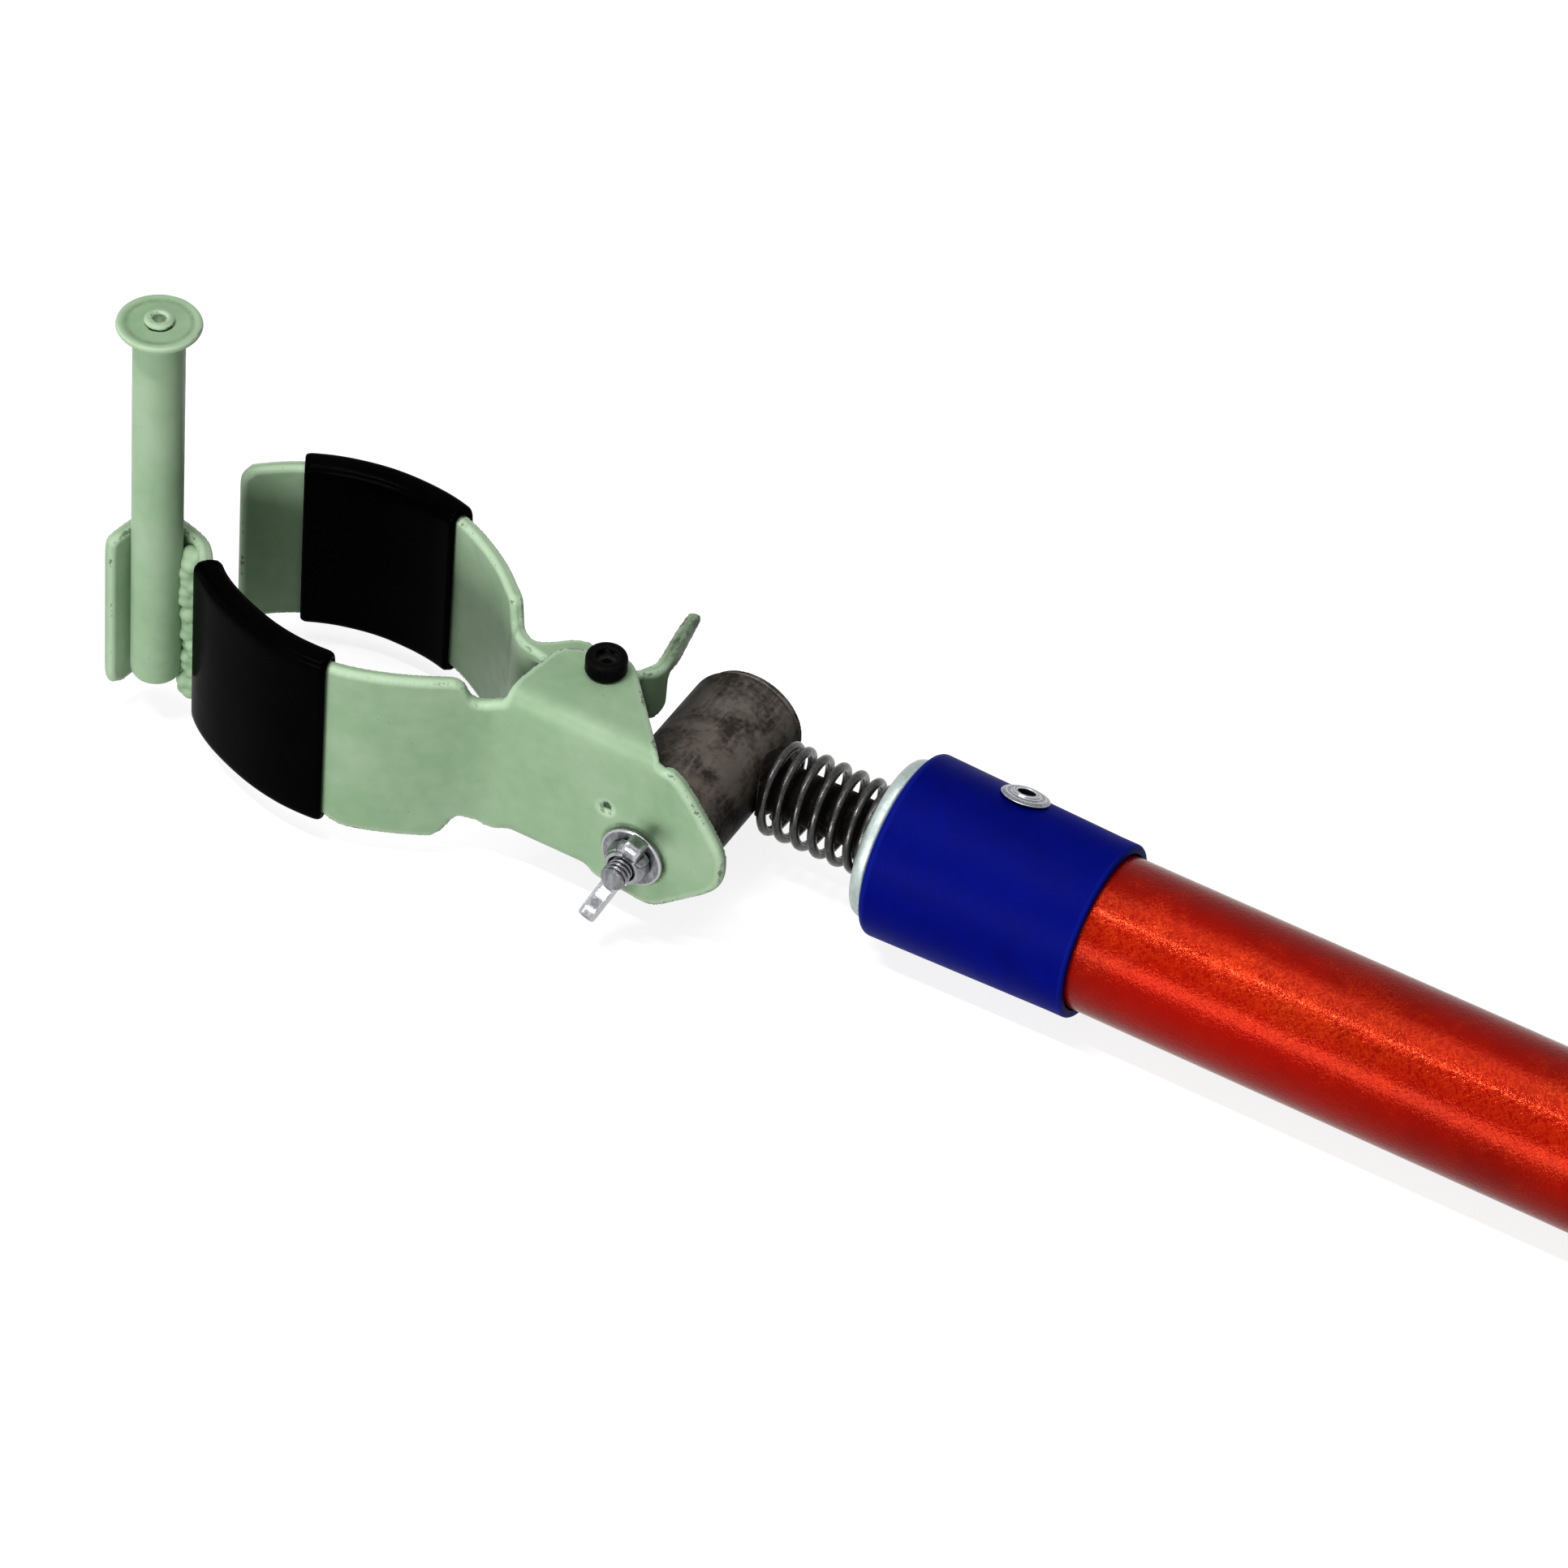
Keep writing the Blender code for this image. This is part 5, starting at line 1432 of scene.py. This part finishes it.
@dataclass
class Knuckle(Assembly):
    """The cross tube with its clamp bolt, wing nut and washers."""

    thread_pitch: float = 1.27 * MM
    thread_depth: float = 0.62 * MM
    thread_length: float = 26.0 * MM
    thread_sink: float = 0.1 * MM
    bolt_radius: float = 3.175 * MM
    head_height: float = 4.4 * MM
    wing_growth: float = 0.8
    wing_root: float = 3.6 * MM
    wing_blend: float = 2.5 * MM
    hub_radius: float = 4.7 * MM
    hub_height: float = 6.6 * MM
    hub_sink: float = 2.4 * MM
    hub_blend: float = 0.6 * MM

    def build(self) -> None:
        """Build all the pieces."""
        self.soften(Softening("cross_tube", "knuckle_tube", SCALE, 0.42 * MM),
                    Softening("tube_end_washer", "tube_washer", SCALE, 0.3 * MM))
        nut = Softening("wing_nut", "zinc_wing_nut", ZINC, 0.2 * MM, rounding=1).piece()
        self.fill_out(nut)
        self.dress(nut, ZINC, "wing_nut")
        self.soften(Softening("wing_nut_washer", "flat_washer", ZINC, 0.2 * MM))
        self.build_bolt()

    def fill_out(self, nut: Piece) -> None:
        """Fill out the cast wings and sink the hub's face, which lets more of the thread show.

        Args:
            nut: The wing nut.
        """
        skin = Skin(nut.data)
        bolt = NodeBox.of("clamp_bolt").centre
        axis = np.array((bolt.x, bolt.z))
        across = skin.points[:, [0, 2]] - axis
        along = np.linalg.svd(across - across.mean(axis=0), full_matrices=False)[2][0]
        side = np.array((-along[1], along[0]))
        reach = np.abs(across @ along) - self.wing_root
        growth = self.wing_growth * np.clip(reach / self.wing_blend, 0.0, 1.0)
        across += np.outer((across @ side) * growth, side)
        skin.points[:, [0, 2]] = across + axis
        face = NodeBox.of("wing_nut").high.y - self.hub_height
        near_face = np.clip(1.0 - (skin.points[:, 1] - face) / (2 * self.hub_sink), 0.0, 1.0)
        radius = np.hypot(across[:, 0], across[:, 1])
        inside = np.clip((self.hub_radius + self.hub_blend - radius) / self.hub_blend, 0.0, 1.0)
        skin.points[:, 1] += self.hub_sink * near_face * inside
        skin.write()
        skin.relax(5)
        skin.mark(0.8 * MM)

    def build_bolt(self) -> None:
        """Turn the bolt's shank down to the thread's root, with the thread wound round it and its head."""
        box = NodeBox.of("clamp_bolt")
        radius, root = self.bolt_radius, self.bolt_radius - self.thread_depth
        shoulder = box.size.y - self.head_height + 0.2 * MM
        run = self.thread_length
        profile = [(0.0, shoulder, 0.0), (radius, shoulder, 0.0), (radius, run + 1.0 * MM, 0.2 * MM),
                   (root, run, 0.3 * MM), (root, 1.0 * MM, 0.0), (radius - 0.1 * MM, 0.65 * MM, 0.1 * MM),
                   (radius - 0.1 * MM, 0.3 * MM, 0.1 * MM), (radius - 0.4 * MM, 0.0, 0.1 * MM),
                   (0.0, 0.0, 0.0)]
        place = Axis.Y.at(Vector((box.centre.x, box.low.y, box.centre.z)))
        shank = Lathe(48).piece("bolt_shank", profile, place)
        wound = run - 0.9 * MM
        thread = rule(Coil).run(
            "bolt_thread", bpy.data.meshes.new("thread_base"), ZINC,
            Mean_Diameter=2 * (root + self.thread_sink),
            Wire_Diameter=2 * (self.thread_depth - self.thread_sink), Turns=wound / self.thread_pitch,
            Length=wound, End_Pitch=self.thread_pitch, Steps_per_Turn=32, Wire_Sides=6)
        thread.data.transform(place @ Matrix.Translation((0, 0, 0.7 * MM)))
        whole = self.joined("threaded_clamp_bolt", [shank, thread, self.hex_head(box)])
        Skin(whole.data).mark(0.25 * MM)
        self.dress(whole, ZINC, "clamp_bolt")

    def hex_head(self, box: NodeBox) -> Piece:
        """Make the bolt's hexagon head with a chamfered rim.

        Args:
            box: Box of the whole bolt.

        Returns:
            The head.
        """
        corner, low = box.size.x / 2, box.high.y - self.head_height
        rows = ((corner * 0.9, 0.0), (corner, 0.5 * MM), (corner, self.head_height - 0.7 * MM),
                (corner * 0.88, self.head_height))
        turns = [math.tau * i / 6 for i in range(6)]
        shape = bmesh.new()
        rings = [[shape.verts.new((box.centre.x + radius * math.cos(a), low + rise,
                                   box.centre.z + radius * math.sin(a))) for a in turns]
                 for radius, rise in rows]
        for first, second in zip(rings, rings[1:]):
            for i in range(6):
                shape.faces.new((first[i], first[(i + 1) % 6], second[(i + 1) % 6], second[i]))
        shape.faces.new(rings[0])
        shape.faces.new(rings[-1])
        bmesh.ops.recalc_face_normals(shape, faces=shape.faces)
        return placed("bolt_head", mesh_from(shape, "bolt_head"))

    @staticmethod
    def joined(name: str, parts: list[Piece]) -> Piece:
        """Join parts into one mesh.

        Args:
            name: Name of the piece.
            parts: The parts, which are removed.

        Returns:
            The piece.
        """
        shape = bmesh.new()
        for part in parts:
            shape.from_mesh(part.data)
            bpy.data.objects.remove(part, do_unlink=True)
        return placed(name, mesh_from(shape, name))


@dataclass
class FixedJaw(Assembly):
    """The near jaw with its sleeve, guide pin, weld and spatter."""

    seam_x: float = 7.2 * MM
    seam_y: float = 2.6 * MM
    seam_reach: float = 6.5 * MM
    bead: float = 2.3 * MM
    sweep: float = 1.5 * MM
    sweep_rise: float = 1.7 * MM
    ring_gap: float = 0.2 * MM
    ring_width: float = 0.9 * MM
    ring_share: float = 0.8

    def build(self) -> None:
        """Build all the pieces."""
        jaw = Softening("fixed_jaw", "painted_fixed_jaw", SAGE, 0.56 * MM, rounding=2, fair_rounds=6).piece()
        self.mark_seam(jaw)
        self.mark_ring(jaw)
        self.dress(jaw, SAGE, "fixed_jaw")
        self.soften(Softening("fixed_jaw_sleeve", "fixed_jaw_grip", VINYL, 0.4 * MM, fair_rounds=6),
                    Softening("guide_pin", "painted_guide_pin", SAGE, 0.3 * MM, fair_rounds=6),
                    Softening("guide_pin_cap", "painted_pin_cap", SAGE, 0.2 * MM, fair_rounds=6))
        self.build_weld(jaw)

    def seam(self) -> Vector:
        """Return the foot of the seam between the guide pin and the strap."""
        pin = NodeBox.of("guide_pin").centre
        return Vector((pin.x + self.seam_x, pin.y + self.seam_y, NodeBox.of("fixed_jaw").low.z))

    def mark_seam(self, jaw: Piece) -> None:
        """Mark how near each point of the jaw is to the weld.

        Args:
            jaw: The jaw.
        """
        skin = Skin(jaw.data)
        foot = self.seam()
        away = np.hypot(skin.points[:, 0] - foot.x - self.sweep, skin.points[:, 1] - foot.y)
        near_side = skin.normals()[:, 1] < 0.2
        skin.store(SEAM, np.clip(1.0 - away / self.seam_reach, 0.0, 1.0) ** 1.5 * near_side)

    def mark_ring(self, jaw: Piece) -> None:
        """Mark a darker ring on the paint round the washer, a painted contact shadow with some grime.

        Args:
            jaw: The jaw.
        """
        skin = Skin(jaw.data)
        washer = NodeBox.of("wing_nut_washer")
        away = np.hypot(skin.points[:, 0] - washer.centre.x, skin.points[:, 2] - washer.centre.z)
        ring = np.clip(1.0 - np.abs(away - washer.size.x / 2 - self.ring_gap) / self.ring_width, 0.0, 1.0)
        held = skin.read(jaw.data.attributes[NOOK].data, "value", 1)
        # The ring adds to the nook mark, which the paint darkens as painted shade and grime.
        skin.store(NOOK, np.clip(held + self.ring_share * ring * (skin.normals()[:, 1] < -0.5), 0.0, 1.0))

    def build_weld(self, jaw: Piece) -> None:
        """Lay the weld between the pin and the strap, and its spatter.

        Args:
            jaw: The jaw that the spatter lies on.
        """
        foot = self.seam()
        low, high = foot.z + 4.0 * MM, NodeBox.of("fixed_jaw").high.z - 3.0 * MM
        sweeps = round((high - low) / self.sweep_rise)
        line = path_mesh("weld_path", [(foot.x + (i % 2) * self.sweep - 0.3 * MM, foot.y + (i % 2) * 0.5 * MM,
                                        low + i * self.sweep_rise) for i in range(sweeps + 1)])
        weld = rule(Weld).run("guide_pin_weld", line, SAGE, Drop_Radius=self.bead)
        skin = Skin(weld.data)
        skin.relax(20)
        skin.mark(0.8 * MM)
        self.add(weld, SAGE, "fixed_jaw")
        self.add(rule(Spatter).run("weld_spatter", jaw.data.copy(), SAGE), SAGE, "fixed_jaw")


@dataclass
class SwingJaw(Assembly):
    """The far jaw with its sleeve, and the pivot screw, nut, washer, spacer and torsion spring."""

    wire: float = 1.5 * MM
    mean_radius: float = 5.3 * MM
    turns: float = 4.5
    steps: int = 32
    pitch: float = 1.8 * MM
    grip_start: Point = (2.0 * MM, 12.0 * MM, 0.0)
    grip_fade: Point = (5.0 * MM, 6.0 * MM, 0.0)

    def build(self) -> None:
        """Build all the pieces."""
        jaw = Softening("swing_jaw", "painted_swing_jaw", SAGE, 0.5 * MM, rounding=2, fair_rounds=6).piece()
        self.mark_lever(jaw)
        self.dress(jaw, SAGE, "swing_jaw")
        self.soften(Softening("swing_jaw_sleeve", "swing_jaw_grip", VINYL, 0.4 * MM, fair_rounds=6),
                    Softening("jaw_pivot_screw", "socket_head_screw", BLACK_OXIDE, 0.22 * MM),
                    Softening("jaw_pivot_nut", "pivot_lock_nut", ZINC, 0.22 * MM),
                    Softening("jaw_pivot_washer", "pivot_washer", ZINC, 0.2 * MM, rounding=2),
                    Softening("jaw_pivot_spacer", "pivot_spacer", ZINC, 0.25 * MM, rounding=2))
        self.build_torsion_spring()

    def mark_lever(self, jaw: Piece) -> None:
        """Mark the finger lever, whose paint is worn by handling.

        Args:
            jaw: The jaw.
        """
        skin = Skin(jaw.data)
        pivot = NodeBox.of("jaw_pivot_screw").centre
        grip = [np.clip((skin.points[:, i] - pivot[i] - self.grip_start[i]) / self.grip_fade[i], 0.0, 1.0)
                for i in (0, 1)]
        skin.store(GRIP, grip[0] * grip[1])

    def build_torsion_spring(self) -> None:
        """Wind the torsion spring with its two legs."""
        box = NodeBox.of("jaw_torsion_spring")
        pivot = NodeBox.of("jaw_pivot_screw").centre
        near = box.low.y + self.wire / 2 - pivot.y
        r = self.mean_radius
        points = [(-r * 3.0, near, 0.0), (-r * 2.2, near, 0.0), (-r * 0.6, near / 2, 0.0)]
        for i in range(round(self.turns * self.steps) + 1):
            angle = math.tau * i / self.steps - math.pi / 2
            points.append((r * math.cos(angle), r * math.sin(angle), self.pitch * i / self.steps))
        points.append((-r * 2.0, r, points[-1][2]))
        foot = Vector((pivot.x, pivot.y, box.low.z + self.wire / 2))
        path = path_mesh("torsion_path", [tuple(foot + Vector(point)) for point in points])
        spring = rule(Wire).run("torsion_spring_wire", path, SPRING_WIRE, Wire_Diameter=self.wire)
        Skin(spring.data).mark(0.3 * MM)
        self.dress(spring, SPRING_WIRE, "jaw_torsion_spring")


@dataclass(frozen=True)
class Lamp:
    """A soft lamp: the way to it, its face's length and width in metres, and its power in watts."""

    name: str
    way: Point
    face: tuple[float, float]
    power: float
    distance: float = 1.7

    def turned(self, way: Vector) -> Matrix:
        """Return the turn that faces the lamp back along its way."""
        return (-way).to_track_quat("-Z", "Y").to_matrix()

    def hang(self, over: Vector) -> None:
        """Hang the lamp.

        Args:
            over: Point that it hangs over.
        """
        light = bpy.data.lights.new(self.name, "AREA")
        light.shape = "RECTANGLE"
        light.size, light.size_y = self.face
        light.energy = self.power
        way = Vector(self.way).normalized()
        holder = placed(self.name, light)
        holder.matrix_world = Matrix.Translation(over + way * self.distance) @ self.turned(way).to_4x4()


class StripLamp(Lamp):
    """A lamp whose length runs along the pole, which draws one bright line on it."""

    def turned(self, way: Vector) -> Matrix:
        """Return the turn that lays the lamp's length along the pole.

        Args:
            way: Way to the lamp.

        Returns:
            The turn.
        """
        along = Vector((1.0, 0.0, 0.0))
        out = (way - way.project(along)).normalized()
        return Matrix((along, out.cross(along), out)).transposed()


@dataclass
class Studio:
    """The pale floor, the soft lamps and the camera at the photograph's viewing angle."""

    floor_half: float = 6.0
    floor_gap: float = 0.4 * MM
    floor_white: float = 0.32
    floor_lift: float = 0.82
    ambient: float = 0.16
    lamps: tuple[Lamp, ...] = (Lamp("top_lamp", (-0.05, 0.06, 1.0), (0.8, 0.8), 9.0),
                               Lamp("front_lamp", (-0.06, -0.99, 0.20), (1.1, 0.55), 23.0),
                               Lamp("left_lamp", (-0.93, -0.25, 0.27), (0.7, 0.7), 2.5))
    strip: Lamp = StripLamp("strip_lamp", (-0.31, -0.33, 0.89), (0.62, 0.03), 13.0)
    strip_over: Point = (-0.50, 0.0, 0.0)
    eye: Point = (0.47988585, -0.97526814, 1.03334312)
    forward: Point = (-0.30929551, 0.65327359, -0.69106433)
    right: Point = (0.86842363, 0.4901657, 0.07468591)
    focal_pixels: float = 7905.64
    image_pixels: float = 1932.0
    sensor: float = 36.0
    clip: tuple[float, float] = (0.05, 60.0)

    def build(self) -> None:
        """Build the floor, the world, the lamps and the camera."""
        self.centre = Vector((NodeBox.of("cross_tube").centre.x, 0.0, 0.0))
        self.build_floor()
        self.build_world()
        for lamp in self.lamps:
            lamp.hang(self.centre)
        self.strip.hang(Vector(self.strip_over))
        self.build_camera()
        bpy.context.scene.view_settings.view_transform = "Standard"

    def seen(self, graph: Graph) -> Socket:
        """Find the rays that show the background.

        Args:
            graph: A graph of the floor or the world.

        Returns:
            1 for camera, glossy and transmission rays, else 0.
        """
        path = graph.node("ShaderNodeLightPath").outputs
        straight = graph.math("MAXIMUM", path["Is Camera Ray"], path["Is Glossy Ray"])
        return graph.math("MAXIMUM", straight, path["Is Transmission Ray"])

    def build_floor(self) -> None:
        """Lay the floor just under the object."""
        half, low = self.floor_half, CAD_BOX[0].z - self.floor_gap
        mesh = bpy.data.meshes.new("studio_floor")
        corners = [(self.centre.x + x * half, y * half, low) for x, y in ((-1, -1), (1, -1), (1, 1), (-1, 1))]
        mesh.from_pydata(corners, [], [(0, 1, 2, 3)])
        floor = placed("studio_floor", mesh)
        paper = bpy.data.materials.new("studio_paper")
        paper.use_nodes = True
        graph = Graph(paper.node_tree)
        shader = paper.node_tree.nodes["Principled BSDF"]
        even = {"Base Color": (self.floor_white,) * 3, "Roughness": 0.9, "Specular IOR Level": 0.1}
        for label, value in even.items():
            graph.feed(shader.inputs[label], value)
        glow = graph.out("ShaderNodeEmission", {"Strength": graph.times(self.seen(graph), self.floor_lift)})
        both = graph.out("ShaderNodeAddShader", {0: shader.outputs[0], 1: glow})
        graph.feed(paper.node_tree.nodes["Material Output"].inputs["Surface"], both)
        mesh.materials.append(paper)

    def build_world(self) -> None:
        """Fill the room with even light, seen as white."""
        world = bpy.data.worlds.new("studio_room")
        bpy.context.scene.world = world
        world.use_nodes = True
        graph = Graph(world.node_tree)
        background = world.node_tree.nodes["Background"].inputs
        graph.feed(background["Color"], (1.0, 1.0, 1.0))
        graph.feed(background["Strength"], graph.span(self.seen(graph), 0.0, 1.0, self.ambient, 1.0))

    def build_camera(self) -> None:
        """Place the camera that was fitted to the photograph."""
        camera = bpy.data.cameras.new("photo_camera")
        camera.sensor_width = self.sensor
        camera.lens = self.focal_pixels / self.image_pixels * self.sensor
        camera.clip_start, camera.clip_end = self.clip
        holder = placed("photo_camera", camera)
        right, forward = Vector(self.right), Vector(self.forward)
        turn = Matrix((right, right.cross(forward), -forward)).transposed()
        holder.matrix_world = Matrix.Translation(self.centre + Vector(self.eye)) @ turn.to_4x4()
        bpy.context.scene.camera = holder


def main() -> None:
    """Build every sub-assembly in order, then the studio."""
    logging.basicConfig(level=logging.INFO, format="%(name)s %(message)s")
    for assembly in (Handle(), SpringShaft(), Knuckle(), FixedJaw(), SwingJaw(), Studio()):
        LOG.info("building %s", type(assembly).__name__)
        assembly.build()


if __name__ == "__main__":
    main()
